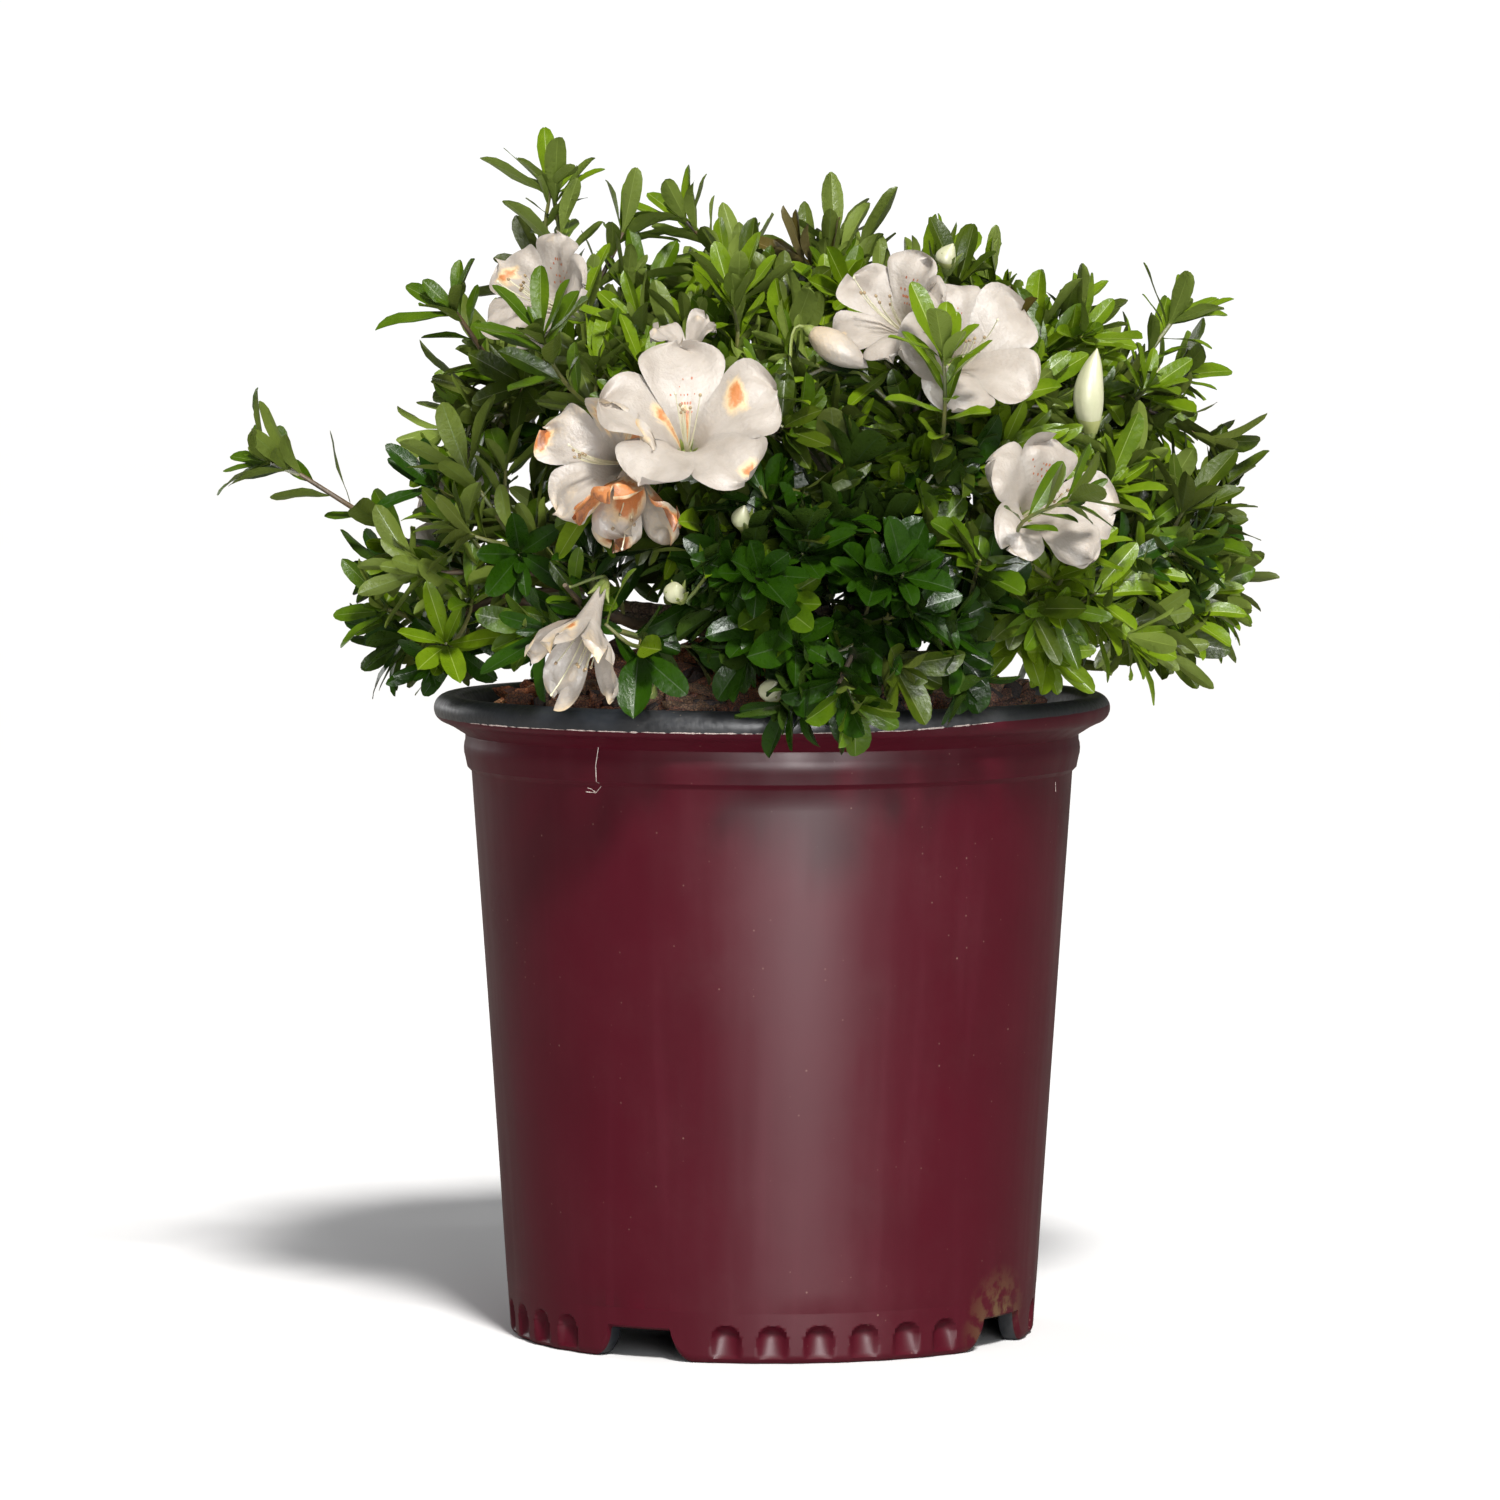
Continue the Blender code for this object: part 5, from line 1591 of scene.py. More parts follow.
@dataclass
class Crown:
    """Shares the crown's space out among the masses, the limbs and the blooms."""

    pot: Pot
    soil: Soil
    wood: Wood
    centre: Vector = field(default_factory=lambda: Vector((0.004, 0.0, 0.248)))
    reach: Vector = field(default_factory=lambda: Vector((0.152, 0.146, 0.136)))
    lowest: float = -4.0
    shoots: int = 64
    shoot_seed: int = 5
    shoot_inset: float = 0.12
    wall_margin: float = 0.0010
    tip_margin: float = 0.0060
    limb_margin: float = 0.0015
    rim_margin: float = 0.0022
    hidden_blooms: tuple[Span, ...] = (
        (118.0, 30.0), (150.0, 54.0), (172.0, 14.0), (205.0, 42.0), (240.0, 20.0),
    )
    hidden_share: float = 0.80
    hidden_radius: float = 0.029
    hidden_depth: float = 0.023
    sprigs: tuple[tuple[tuple[float, float, float], tuple[float, float, float]], ...] = (
        ((0.058, -0.126, 0.322), (0.057, -0.137, 0.345)),
        ((0.022, -0.136, 0.240), (0.027, -0.146, 0.229)),
        ((-0.080, -0.012, 0.382), (-0.077, -0.014, 0.4015)),
        ((-0.166, -0.012, 0.302), (-0.1760, -0.014, 0.3065)),
        ((0.075, -0.138, 0.286), (0.100, -0.146, 0.298)),
        ((-0.072, -0.100, 0.336), (-0.078, -0.110, 0.352)),
        ((-0.045, -0.135, 0.246), (-0.056, -0.143, 0.256)),
    )
    long_shoots: tuple[tuple[float, float, float], ...] = (
        (-0.168, -0.012, 0.304), (-0.076, -0.012, 0.398), (-0.080, 0.006, 0.371), (-0.052, 0.000, 0.386),
        (-0.030, 0.010, 0.390), (-0.110, -0.030, 0.359), (-0.104, 0.000, 0.330), (-0.128, -0.020, 0.274),
        (-0.134, -0.034, 0.256), (-0.117, -0.050, 0.236), (0.022, 0.010, 0.384), (0.060, 0.002, 0.374),
        (0.108, -0.010, 0.352), (0.140, -0.012, 0.356), (0.142, 0.004, 0.336), (0.153, -0.012, 0.313),
        (0.151, -0.004, 0.282), (0.151, 0.014, 0.262), (0.138, -0.016, 0.254), (0.022, -0.142, 0.236),
        (-0.044, -0.112, 0.250), (-0.016, -0.120, 0.276), (0.062, -0.112, 0.256), (0.008, -0.108, 0.320),
        (0.040, -0.112, 0.292),
    )

    def __post_init__(self) -> None:
        """Gather the blooms and the limbs, and share the shoots out."""
        self.blooms = list(BLOOMS)
        for number, (azimuth, elevation) in enumerate(self.hidden_blooms):
            outward = heading(azimuth, elevation)
            base = self.centre + outward * self.envelope(outward) * self.hidden_share
            sizes = (self.hidden_radius, self.hidden_depth)
            wilt = 0.10 + 0.07 * number
            self.blooms.append(Bloom(base, azimuth, elevation + 8.0, *sizes, 20 + number, 8.0 * number, wilt))
        self.opened = []
        self.tips: list[Vector] = []
        for bloom in self.blooms:
            bloom.mass = self.owner(bloom.base)
            self.opened.append(bloom.opened())
            self.opened[-1].mass = bloom.mass
        for bud in BUDS:
            bud.mass = self.owner(bud.base)
            self.opened.append(bud)
        self.limbs = self.wood.limbs()
        self.ends = self.shoot_ends()

    def envelope(self, outward: Vector) -> float:
        """Return how far the shoot tips stand from the crown's centre in a direction."""
        scaled = [outward[axis] / self.reach[axis] for axis in range(3)]
        return 1.0 / math.sqrt(sum(value * value for value in scaled))

    def owner(self, point: Vector) -> Mass:
        """Return the mass whose seed is nearest to a point."""
        return min(MASSES, key=lambda mass: (point - mass.seed).length)

    def wall(self, point: Vector, mass: Mass) -> tuple[float, Vector]:
        """Find the nearest wall of a mass's space.

        Args:
            point: Where it is looked for from.
            mass: The mass.

        Returns:
            The distance to it, and the direction away from it.
        """
        nearest = (math.inf, Vector((0.0, 0.0, 0.0)))
        for other in MASSES:
            if other is not mass:
                across = (mass.seed - other.seed).normalized()
                margin = (point - (mass.seed + other.seed) / 2.0).dot(across)
                nearest = min(nearest, (margin, across), key=lambda found: found[0])
        return nearest

    def pulled_in(self, point: Vector, mass: Mass) -> Vector:
        """Move a shoot's tip away from the walls of its mass's space.

        Args:
            point: The tip.
            mass: The mass.

        Returns:
            Its new place.
        """
        for _ in range(4):
            margin, away = self.wall(point, mass)
            if margin < self.tip_margin:
                point = point + away * (self.tip_margin - margin)
        return point

    def is_over_pot(self, point: Vector) -> bool:
        """Say whether a point is clear of the rim and the soil."""
        radius = math.hypot(point.x, point.y)
        rim_reach = self.pot.rim_roll + self.rim_margin
        if radius < self.pot.rim_radius + rim_reach and point.z < self.pot.rim_height + rim_reach:
            return False
        return radius >= self.pot.rim_radius or point.z >= self.soil.height(radius) + 2.0 * self.soil.lump

    def is_off_limbs(self, point: Vector, spared: Mass | None) -> bool:
        """Say whether a point is clear of the wood and the blooms.

        Args:
            point: The point.
            spared: The mass whose own bough and blooms it may touch, or None.

        Returns:
            Whether it is clear.
        """
        for bearer, low, high, thickness in self.limbs:
            if bearer is not None and bearer is spared:
                continue
            along = high - low
            share = min(max((point - low).dot(along) / along.length_squared, 0.0), 1.0)
            if (point - low - along * share).length < thickness + self.limb_margin:
                return False
        others = (bloom for bloom in self.blooms if bloom.mass is not spared)
        return spared is None or not any(bloom.holds(point) for bloom in others)

    def is_free(self, point: Vector, mass: Mass) -> bool:
        """Say whether a mass's twigs may fill a point."""
        if point.z < mass.floor or not self.is_over_pot(point):
            return False
        return self.wall(point, mass)[0] >= self.wall_margin and self.is_off_limbs(point, mass)

    def is_open(self, point: Vector, mass: Mass) -> bool:
        """Say whether a mass's finer shoots and its leaves may fill a point."""
        if point.z < mass.floor - 0.004 or not self.is_over_pot(point):
            return False
        return self.is_off_limbs(point, None) and not any(bloom.holds(point) for bloom in self.opened)

    def shoot_ends(self) -> dict[str, list[End]]:
        """Share the blooms and evenly spread shoot tips out among the masses."""
        ends: dict[str, list[End]] = {mass.name: [] for mass in MASSES}
        chance = random.Random(self.shoot_seed)
        lowest = math.sin(math.radians(self.lowest))
        for number in range(self.shoots):
            rise = lowest + (1.0 - lowest) * (number + 0.5) / self.shoots
            elevation = math.degrees(math.asin(rise)) + chance.uniform(-3.0, 3.0)
            outward = heading(GOLDEN_ANGLE * number + chance.uniform(-3.0, 3.0), elevation)
            mass = self.owner(self.centre + outward * MASSES[0].seed_radius)
            reach = self.envelope(outward) * mass.reach * (1.0 - self.shoot_inset * chance.random())
            tip = self.pulled_in(self.centre + outward * reach, mass)
            if not any(bloom.holds(tip) for bloom in self.blooms):
                ends[mass.name].append((tip, None))
        for corner in self.long_shoots:
            tip = Vector(corner)
            mass = self.owner(tip)
            ends[mass.name].append((self.pulled_in(tip, mass), None))
        for bloom in self.blooms:
            ends[bloom.mass.name].append((bloom.base, bloom))
        return ends

    def share_out(self, point: Vector, mass: Mass) -> float:
        """Return how far out a point is, as a share of the mass's reach in its direction."""
        offset = point - self.centre
        return offset.length / (self.envelope(offset.normalized()) * mass.reach)

    def build(self) -> None:
        """Grow every mass."""
        for mass in MASSES:
            Foliage(self, mass).build()


def middle_of(ends: Sequence[End]) -> Vector:
    """Return the middle of some shoot ends."""
    return sum((end[0] for end in ends), Vector()) / len(ends)


def split(ends: Sequence[End]) -> tuple[list[End], list[End]]:
    """Part a list of shoot ends in two across its widest direction.

    Args:
        ends: The ends.

    Returns:
        The nearer and the farther half.
    """
    middle = middle_of(ends)
    far = max(ends, key=lambda end: (end[0] - middle).length)
    across = (far[0] - middle).normalized()
    ranked = sorted(ends, key=lambda end: (end[0] - middle).dot(across))
    half = len(ranked) // 2
    return ranked[:half], ranked[half:]


@dataclass
class Leaf:
    """The outline of a leaf, and how it is set out as a sheet with a raised midrib."""

    rows: tuple[float, ...] = (0.0, 0.08, 0.20, 0.36, 0.53, 0.70, 0.85, 0.95, 1.0)
    widths: tuple[float, ...] = (0.14, 0.20, 0.48, 0.80, 0.98, 1.00, 0.83, 0.52, 0.10)
    spans: tuple[float, ...] = (-1.0, -0.52, -0.040, 0.040, 0.52, 1.0)

    def sheets(self, roots: np.ndarray, axes: np.ndarray, sizes: np.ndarray, turns: np.ndarray) -> Shape:
        """Set many leaves out at once.

        Args:
            roots: Where each starts.
            axes: For each, the directions along it, to its side and out of its face.
            sizes: The length and width of each.
            turns: The fold, droop and twist of each.

        Returns:
            The points and faces of all of them.
        """
        along, width = np.array(self.rows), np.array(self.widths)
        span = np.array(self.spans)
        length = sizes[:, 0, None, None]
        half = sizes[:, 1, None, None] * 0.5 * width[None, :, None]
        fold, droop, twist = (turns[:, number, None, None] for number in range(3))
        bend = droop * along[None, :, None] ** 2
        forward = length * (along[None, :, None] - 0.30 * bend**2)
        spin = twist * along[None, :, None]
        aside = half * span[None, None, :] * np.cos(spin)
        wave = 0.02 * length * np.sin(along[None, :, None] * 9.0 + twist * 20.0) * span[None, None, :] ** 2
        lift = half * np.abs(span[None, None, :]) * fold + wave - length * 0.55 * bend
        lift = lift + half * span[None, None, :] * np.sin(spin)
        shape = (len(roots), len(along), len(span))
        parts = [np.broadcast_to(part, shape)[..., None] for part in (forward, aside, lift)]
        offset = sum(part * axes[:, None, None, number] for number, part in enumerate(parts))
        places = roots[:, None, None, :] + offset
        faces = grid_faces(len(along), len(span), False)
        offsets = np.arange(len(roots)) * len(along) * len(span)
        return places.reshape(-1, 3), (faces[None] + offsets[:, None, None]).reshape(-1, 4)

    def face_slots(self, tones: np.ndarray) -> np.ndarray:
        """Return the finish of each face: the tone's blade, or its midrib in the middle span."""
        spans = np.arange(len(self.spans) - 1)
        is_rib = np.tile(spans == len(spans) // 2, len(self.rows) - 1)
        return (tones[:, None] * 2 + is_rib[None]).ravel()


LEAF = Leaf()
LeafRow = tuple[Vector, Vector, Vector, Vector, float, float, int]


@dataclass
class Spray:
    """One shoot's line, its thickness and the tone that all its leaves share."""

    path: list[Vector]
    radii: list[float]
    tone: int
    is_young: bool


@dataclass
class Foliage:
    """Grows the twigs, leaves and blooms of one mass from the end of its bough."""

    crown: Crown
    mass: Mass
    tip_radius: float = 0.0008
    stem_length: float = 0.0060
    foot_length: float = 1.6
    sunk: float = 0.2
    thickening: float = 0.42
    fork_share: float = 0.42
    station: float = 0.004
    side_spacing: float = 0.0048
    side_length: Span = (0.016, 0.034)
    tip_spacing: float = 0.0051
    fork_chance: float = 0.6
    leaf_spacing: float = 0.0027
    leaf_length: Span = (0.0160, 0.0250)
    leaf_width: Span = (0.27, 0.37)
    broad: float = 1.34
    shade_middle: float = 0.014
    shade_half: float = 0.064
    whorl: int = 6
    loosened: Span = (1.40, 0.22)

    def __post_init__(self) -> None:
        """Start with bare lists and the mass's own chance."""
        self.chance = random.Random(900 + self.mass.number)
        leftward = max(-self.mass.outward.x, 0.0)
        rightward = max(self.mass.outward.x, 0.0)
        left_share, right_share = self.loosened
        left_share *= 1.0 if self.mass.is_low else 0.55
        self.looseness = 1.0 + left_share * leftward + right_share * rightward
        self.side_reach = 0.90 if self.mass.is_top else 0.98 if self.mass.is_low else 0.95
        self.twigs: list[tuple[list[Vector], list[float], Bloom | None]] = []
        self.sprays: list[Spray] = []
        self.leaves: list[LeafRow] = []

    def is_shaded(self, point: Vector) -> bool:
        """Say whether a place lies low in the crown's front, where the leaves are broad and their tone is
        darkened as painted shade.
        """
        is_front = self.mass.is_low and self.mass.outward.y < -0.3
        return is_front and abs(point.x - self.shade_middle) < self.shade_half

    def radius_for(self, tip_count: int) -> float:
        """Return the radius of a twig that carries some tips."""
        return self.tip_radius * tip_count**self.thickening

    def is_clear(self, start: Vector, end: Vector) -> bool:
        """Say whether a twig may run straight from one point to another."""
        count = 1 + math.ceil((end - start).length / self.station)
        shares = (number / count for number in range(1, count + 1))
        return all(self.crown.is_free(start.lerp(end, share), self.mass) for share in shares)

    def grow(self, path: list[Vector], radii: list[float], ends: list[End]) -> None:
        """Carry a twig on through its forks to one end, and grow side twigs to the others.

        Args:
            path: Where it starts.
            radii: How thick it is there.
            ends: The tips and blooms that it and its side twigs go to.
        """
        side_groups = []
        while len(ends) > 1:
            fork = path[-1].lerp(middle_of(ends), self.fork_share)
            if not self.is_clear(path[-1], fork):
                break
            onward = fork - path[-1]
            path.append(fork)
            radii.append(self.radius_for(len(ends)))
            groups = split(ends)
            aside, ends = sorted(groups, key=lambda group: (middle_of(group) - fork).dot(onward))
            side_groups.append((fork, radii[-1], aside))
        open_ends = [end for end in ends if self.is_clear(path[-1], end[0])]
        side_groups += [(path[-1], radii[-1], [end]) for end in open_ends[1:]]
        bloom = None
        if open_ends:
            bloom = open_ends[0][1]
            path.append(open_ends[0][0])
            radii.append(self.tip_radius)
        if len(path) < 3:
            return
        self.twigs.append((path, radii, bloom))
        for fork, radius, group in side_groups:
            onward = (middle_of(group) - fork).normalized()
            foot = fork + onward * (self.foot_length * radius)
            self.grow([fork, foot], [self.sunk * radius, self.radius_for(len(group))], group)

    def tone_at(self, point: Vector) -> int:
        """Pick the tone of a spray by how much light its place gets.

        Args:
            point: The spray's tip.

        Returns:
            The tone's number.
        """
        offset = point - self.crown.centre
        out = min(self.crown.share_out(point, self.mass), 1.1)
        # Higher, farther right and farther out places get lighter tones, and the low front gets darker ones:
        # painted light and shade.
        light = 0.45 * offset.z / 0.136 + 0.12 * offset.x / 0.152 + 0.55 * (out - 0.72)
        if self.is_shaded(point):
            light += self.chance.gauss(-0.16, 0.13)
        else:
            light += self.chance.gauss(0.20, 0.21)
        if self.chance.random() < 0.008:
            return 4
        if light > 0.52:
            return 0 if self.chance.random() < 0.86 else 3
        if light > 0.24:
            return 1 if self.chance.random() < 0.80 else 3
        return 2 if self.chance.random() < 0.90 else 3

    def side_shoots(self, path: list[Vector]) -> None:
        """Grow short leafy shoots off a twig, turned evenly round it.

        Args:
            path: The twig's smoothed line.
        """
        turn = self.chance.uniform(0.0, math.tau)
        travelled = self.chance.uniform(0.0, self.side_spacing)
        for before, here in zip(path, path[1:]):
            travelled += (here - before).length
            if travelled < self.side_spacing * self.looseness or self.crown.share_out(here, self.mass) < 0.40:
                continue
            travelled = 0.0
            turn += math.radians(GOLDEN_ANGLE)
            axis = (here - before).normalized()
            up, beside = frame_about(axis)
            tilt = math.radians(self.chance.uniform(42.0, 62.0))
            spoke = spoke_at(up, beside, turn)
            start_way = axis * math.cos(tilt) + spoke * math.sin(tilt)
            line = self.keep_shoot(self.bowed(here, start_way, self.chance.uniform(*self.side_length)))
            if line and self.chance.random() < self.fork_chance:
                self.keep_shoot(self.offshoot(line))

    def bowed(self, start: Vector, start_way: Vector, length: float) -> list[Vector]:
        """Return the line of a shoot that bows outward and up to the light.

        Args:
            start: Where it starts.
            start_way: The direction in which it starts.
            length: Its length.

        Returns:
            Its points.
        """
        outward = (start - self.crown.centre).normalized()
        end_way = (start_way + outward * 0.55 + Vector((0.0, 0.0, 0.35))).normalized()
        return [
            start + start_way * (length * share) * (1.0 - share / 2.0) + end_way * (length * share**2 / 2.0)
            for share in np.linspace(0.0, 1.0, 7)
        ]

    def offshoot(self, line: list[Vector]) -> list[Vector]:
        """Return the line of a shorter shoot that forks off the middle of a side shoot.

        Args:
            line: The side shoot's points.

        Returns:
            The fork's points.
        """
        middle = len(line) // 2
        axis = (line[middle] - line[middle - 1]).normalized()
        up, beside = frame_about(axis)
        turn = self.chance.uniform(0.0, math.tau)
        start_way = (axis * 0.7 + spoke_at(up, beside, turn) * 0.7).normalized()
        return self.bowed(line[middle], start_way, self.chance.uniform(*self.side_length) * 0.8)

    def keep_shoot(self, line: list[Vector]) -> list[Vector] | None:
        """Keep a side shoot, shortened till it is clear of everything and inside the crown.

        Args:
            line: Its points.

        Returns:
            The points that are kept, or None.
        """
        limit = self.side_reach * (1.0 if self.chance.random() < 0.72 else 1.09)
        while len(line) > 3:
            tip = line[-1]
            is_inside = self.crown.share_out(tip, self.mass) < limit
            apart = self.tip_spacing * self.looseness
            is_apart = all((tip - other).length > apart for other in self.crown.tips)
            if is_inside and is_apart and all(self.crown.is_open(point, self.mass) for point in line[2:]):
                self.crown.tips.append(tip)
                radii = list(np.linspace(0.00085, 0.00055, len(line)))
                self.sprays.append(Spray(line, radii, self.tone_at(tip), True))
                return line
            line = line[:-1]
        return None

    def grow_sprigs(self, spots: Sequence[Vector]) -> None:
        """Grow the sprigs that stand up in front of the blooms.

        Args:
            spots: The points of the mass's twigs, from which they may start.
        """
        for bow, tip in self.crown.sprigs:
            if self.crown.owner(Vector(tip)) is not self.mass:
                continue
            bow, tip = Vector(bow), Vector(tip)
            costs = [(spot - bow).length + 0.4 * max(0.012 - (spot - tip).length, 0.0) for spot in spots]
            foot = spots[costs.index(min(costs))]
            corners = [foot, foot.lerp(bow, 0.6), bow.lerp(tip, 0.35), tip]
            line = smooth_path(corners, 0.004)
            self.crown.tips.append(tip)
            radii = list(np.linspace(0.0010, 0.0006, len(line)))
            # The sprigs stand in front, so they take the sunlit or the half-lit tone: painted light.
            self.sprays.append(Spray(line, radii, self.chance.choice((0, 1)), True))

    def leafy(self, spray: Spray, start: float, has_whorl: bool) -> None:
        """Set leaves along a shoot and a whorl of them at its end.

        Args:
            spray: The shoot.
            start: The share of its length from which it is leafy.
            has_whorl: Whether the end carries a whorl.
        """
        path = spray.path
        length = sum((after - before).length for before, after in zip(path, path[1:]))
        turn = self.chance.uniform(0.0, math.tau)
        travelled = 0.0
        due = length * start
        for before, after in zip(path, path[1:]):
            step = (after - before).length
            while due < travelled + step and due < length - 0.0015:
                root = before.lerp(after, (due - travelled) / step)
                turn += math.radians(GOLDEN_ANGLE)
                size = self.chance.uniform(0.74, 1.04)
                self.add_leaf(root, (after - before).normalized(), turn, (32.0, 60.0), size, spray.tone)
                due += self.leaf_spacing * self.looseness * self.chance.uniform(0.8, 1.25)
            travelled += step
        if has_whorl:
            axis = (path[-1] - path[-2]).normalized()
            first = self.chance.uniform(0.0, math.tau)
            count = self.whorl - self.chance.choice((0, 0, 1))
            for number in range(count):
                turn = first + math.tau * number / count + self.chance.uniform(-0.2, 0.2)
                root = path[-1] - axis * (0.0004 + 0.0007 * number)
                self.add_leaf(root, axis, turn, (28.0, 58.0), self.chance.uniform(0.84, 1.10), spray.tone)
            for number in range(2):
                turn = first + 0.6 + math.pi * number
                self.add_leaf(path[-1], axis, turn, (10.0, 22.0), self.chance.uniform(0.34, 0.52), spray.tone)

    def add_leaf(
        self, root: Vector, axis: Vector, turn: float, tilts: Span, size: float, tone: int
    ) -> None:
        """Add one leaf if it stands clear of the pot, the wood and the blooms.

        Args:
            root: Where it leaves its shoot.
            axis: The shoot's direction.
            turn: Its turn round the shoot.
            tilts: The least and most degrees off the shoot's direction.
            size: A share of the usual length.
            tone: Its tone.
        """
        up, beside = frame_about(axis)
        tilt = math.radians(self.chance.uniform(*tilts))
        spoke = spoke_at(up, beside, turn)
        along = axis * math.cos(tilt) + spoke * math.sin(tilt)
        face = axis * math.sin(tilt) - spoke * math.cos(tilt) + Vector((0.0, 0.0, 0.35))
        face = (face - along * face.dot(along)).normalized()
        length = size * self.chance.uniform(*self.leaf_length)
        width = length * self.chance.uniform(*self.leaf_width)
        if self.is_shaded(root):
            width *= self.broad
        elif self.crown.share_out(root, self.mass) > 0.92:
            length *= 1.14
        for share in (0.45, 0.75, 1.0):
            point = root + along * (length * share) - face * (length * 0.12 * share**2)
            if not self.crown.is_open(point, self.mass):
                return
        self.leaves.append((root, along, along.cross(face), face, length, width, tone))

    def dress_twigs(self) -> Item:
        """Build the mass's twigs and shoots as one piece."""
        stock = Stock()
        for path, radii, _ in self.twigs:
            line = smooth_path(path, 0.0035)
            lengths, along = run_lengths(path), run_lengths(line)
            thick = np.interp(along * lengths[-1] / along[-1], lengths, radii)
            slot = 0 if radii[1] > 0.00115 else 1
            stock.add(sweep(line, thick, 6), slot)
        for spray in self.sprays:
            if spray.is_young:
                stock.add(sweep(spray.path, spray.radii, 5), 1)
        return stock.piece("twigs_" + self.mass.name, (OLD_TWIG, YOUNG_SHOOT), 60.0)

    def dress_leaves(self) -> Item:
        """Build the mass's leaves as one piece."""
        rows = self.leaves
        roots = np.array([tuple(row[0]) for row in rows])
        axes = np.array([[tuple(row[1]), tuple(row[2]), tuple(row[3])] for row in rows])
        sizes = np.array([[row[4], row[5]] for row in rows])
        spans = ((0.12, 0.58), (-0.10, 0.42), (-0.34, 0.34))
        turns = np.array([[self.chance.uniform(*span) for span in spans] for _ in rows])
        tones = np.array([row[6] for row in rows])
        stock = Stock()
        stock.add(LEAF.sheets(roots, axes, sizes, turns), LEAF.face_slots(tones))
        finishes = [finish for tone in LeafTone for finish in tone.value]
        return stock.piece("leaves_" + self.mass.name, finishes, 70.0)

    def build(self) -> None:
        """Grow the mass and build its pieces."""
        node = "foliage_" + self.mass.name
        path = self.crown.wood.bough_path(self.mass)
        along = (path[-1] - path[-2]).normalized()
        foot = path[-1] + along * GAP
        thick = self.crown.wood.bough_tip_radius
        self.grow([foot, foot + along * self.stem_length], [thick, thick], self.crown.ends[self.mass.name])
        self.crown.tips += [twig[0][-1] for twig in self.twigs]
        lines = [(smooth_path(path, 0.0035), radii, bloom) for path, radii, bloom in self.twigs]
        for line, radii, bloom in lines:
            self.side_shoots(line)
            count = sum(1 for point in line if self.crown.share_out(point, self.mass) > 0.5)
            tail = line[-max(count, 3):]
            self.sprays.append(Spray(tail, radii, self.tone_at(tail[-1]), False))
            self.leafy(self.sprays[-1], 0.25, bloom is None)
        self.grow_sprigs([point for line, _, _ in lines for point in line])
        for spray in self.sprays:
            if spray.is_young:
                self.leafy(spray, 0.28, True)
        place(self.dress_twigs(), (node,), "leaves")
        place(self.dress_leaves(), (node,), "leaves")
        blooms = [bloom for bloom in self.crown.opened if bloom.mass is self.mass]
        if blooms:
            stock = Stock()
            spots = [point for line, _, _ in lines for point in line]
            for bloom in blooms:
                bloom.build(stock)
                back = bloom.base - bloom.axis * 0.004
                bloom.stalk(stock, min(spots, key=lambda point: (point - back).length))
            finishes = (PETAL, FILAMENT, ANTHER, FLECK, CALYX, BUD_SKIN, BUD_TIP)
            place(stock.piece("blooms_" + self.mass.name, finishes, 60.0), (node,), "leaves")


# ---- Stage ----


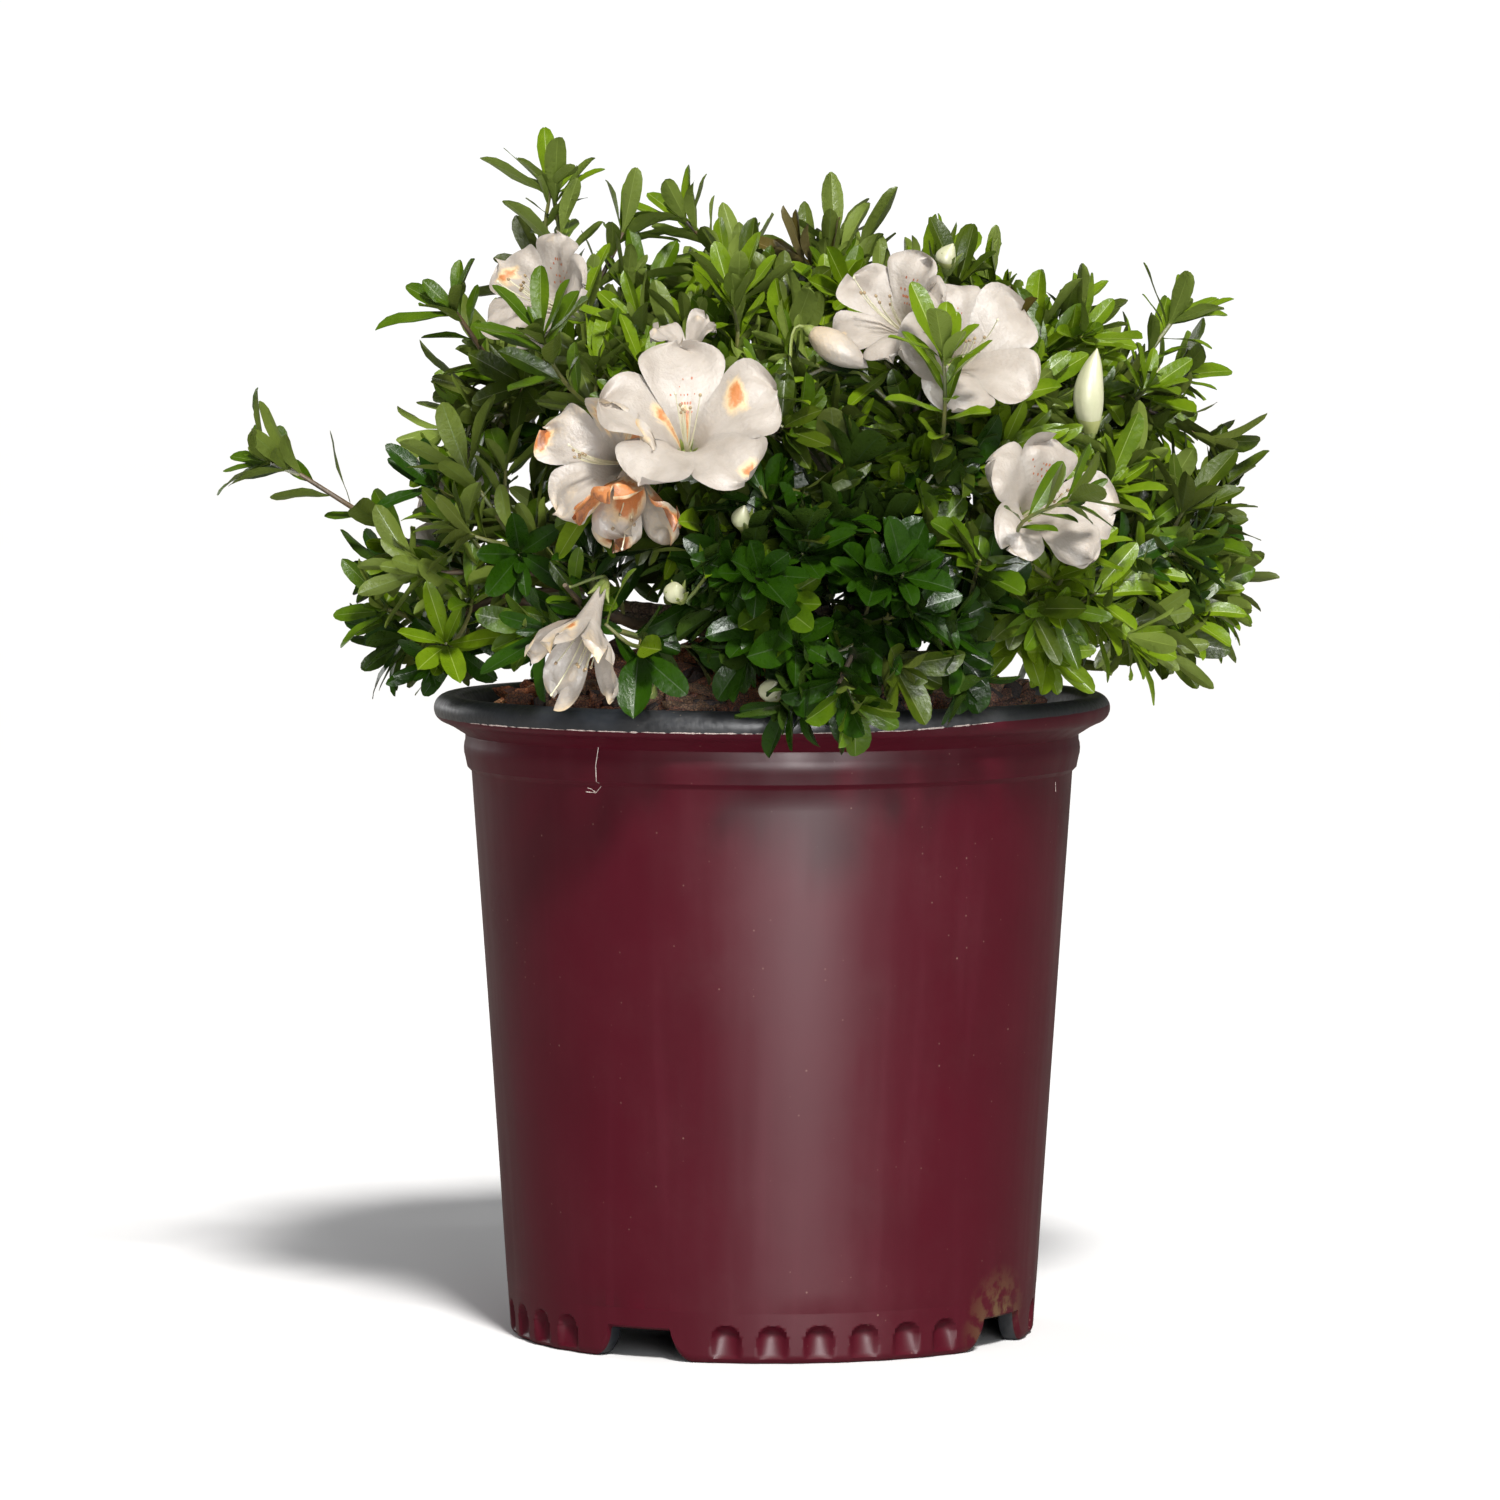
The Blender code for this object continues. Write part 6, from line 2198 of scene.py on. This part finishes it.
@dataclass
class Stage:
    """The floor, the lights and the camera."""

    floor_size: float = 30.0
    camera_place: Vector = field(default_factory=lambda: Vector((-0.0077, -3.0, 0.3930)))
    camera_aim: Vector = field(default_factory=lambda: Vector((-0.0077, 0.0, 0.2048)))
    focal_length: float = 205.5
    sensor: float = 36.0
    backdrop: float = 1.05
    sky_light: float = 0.22
    sun_strength: float = 3.95
    sun_width: float = 9.0
    sun_azimuth: float = 13.0
    sun_height: float = 47.0
    lamps: tuple[tuple[str, Vector, Span, float, bool], ...] = (
        ("front_light", Vector((0.42, -2.60, 0.36)), (0.60, 1.40), 22.0, True),
        ("strip_light", Vector((0.27, -1.35, 0.33)), (0.50, 0.50), 62.0, False),
        ("rim_light", Vector((-1.6, 1.9, 0.9)), (0.8, 1.2), 12.0, True),
    )

    def floor(self) -> Item:
        """Build the floor."""
        half = self.floor_size / 2.0
        grid = np.linspace(-half, half, 13)
        across, back = np.meshgrid(grid, grid)
        points = np.stack([across.ravel(), back.ravel(), np.zeros(across.size)], axis=1)
        stock = Stock()
        stock.add((points, grid_faces(13, 13, False)))
        item = stock.piece("studio_floor", (FLOOR,))
        return item

    def light(self) -> None:
        """Set the sky and the lamps."""
        world = bpy.data.worlds.new("studio_sky")
        world.use_nodes = True
        nodes = Nodes(world.node_tree)
        world.node_tree.nodes.clear()
        seen = nodes.put("ShaderNodeBackground", {"Color": (1.0, 1.0, 1.0, 1.0), "Strength": self.backdrop})
        sky = {"Color": (1.0, 0.99, 0.965, 1.0), "Strength": self.sky_light}
        lit = nodes.put("ShaderNodeBackground", sky)
        rays = nodes.put("ShaderNodeLightPath").outputs["Is Camera Ray"]
        both = nodes.put("ShaderNodeMixShader", {0: rays, 1: lit.outputs[0], 2: seen.outputs[0]})
        nodes.put("ShaderNodeOutputWorld", {"Surface": both.outputs[0]})
        bpy.context.scene.world = world
        sun = bpy.data.lights.new("key_light", "SUN")
        sun.energy = self.sun_strength
        sun.angle = math.radians(self.sun_width)
        sun.color = (1.0, 0.97, 0.925)
        self.hang(sun, heading(self.sun_azimuth, self.sun_height) * 3.0)
        for name, where, size, power, is_diffuse in self.lamps:
            data = bpy.data.lights.new(name, "AREA")
            data.shape = "RECTANGLE"
            data.size, data.size_y = size
            data.energy = power
            self.hang(data, where).visible_diffuse = is_diffuse

    def hang(self, data: bpy.types.Light, where: Vector) -> Item:
        """Set a lamp in its place, turned to the plant.

        Args:
            data: The lamp.
            where: Its place.

        Returns:
            The lamp's object.
        """
        lamp = bpy.data.objects.new(data.name, data)
        lamp.location = where
        lamp.rotation_euler = (Vector((0.0, 0.0, 0.20)) - where).to_track_quat("-Z", "Y").to_euler()
        bpy.context.scene.collection.objects.link(lamp)
        return lamp

    def camera(self) -> None:
        """Set the camera."""
        data = bpy.data.cameras.new("camera")
        data.lens = self.focal_length
        data.sensor_width = self.sensor
        data.clip_end = 60.0
        item = bpy.data.objects.new("camera", data)
        item.location = self.camera_place
        item.rotation_euler = (self.camera_aim - self.camera_place).to_track_quat("-Z", "Y").to_euler()
        bpy.context.scene.collection.objects.link(item)
        bpy.context.scene.camera = item
        bpy.context.scene.view_settings.view_transform = "Standard"

    def build(self) -> None:
        """Build the whole stage."""
        self.camera()
        self.light()
        self.floor()


def main() -> None:
    """Build the potted shrub and its stage, logging each piece's face count as it is placed."""
    logging.basicConfig(level=logging.INFO, format="%(name)s %(message)s")
    Stage().build()
    pot = Pot()
    soil = Soil(pot)
    wood = Wood()
    for part in (pot, soil, wood, Crown(pot, soil, wood)):
        part.build()


if __name__ == "__main__":
    main()
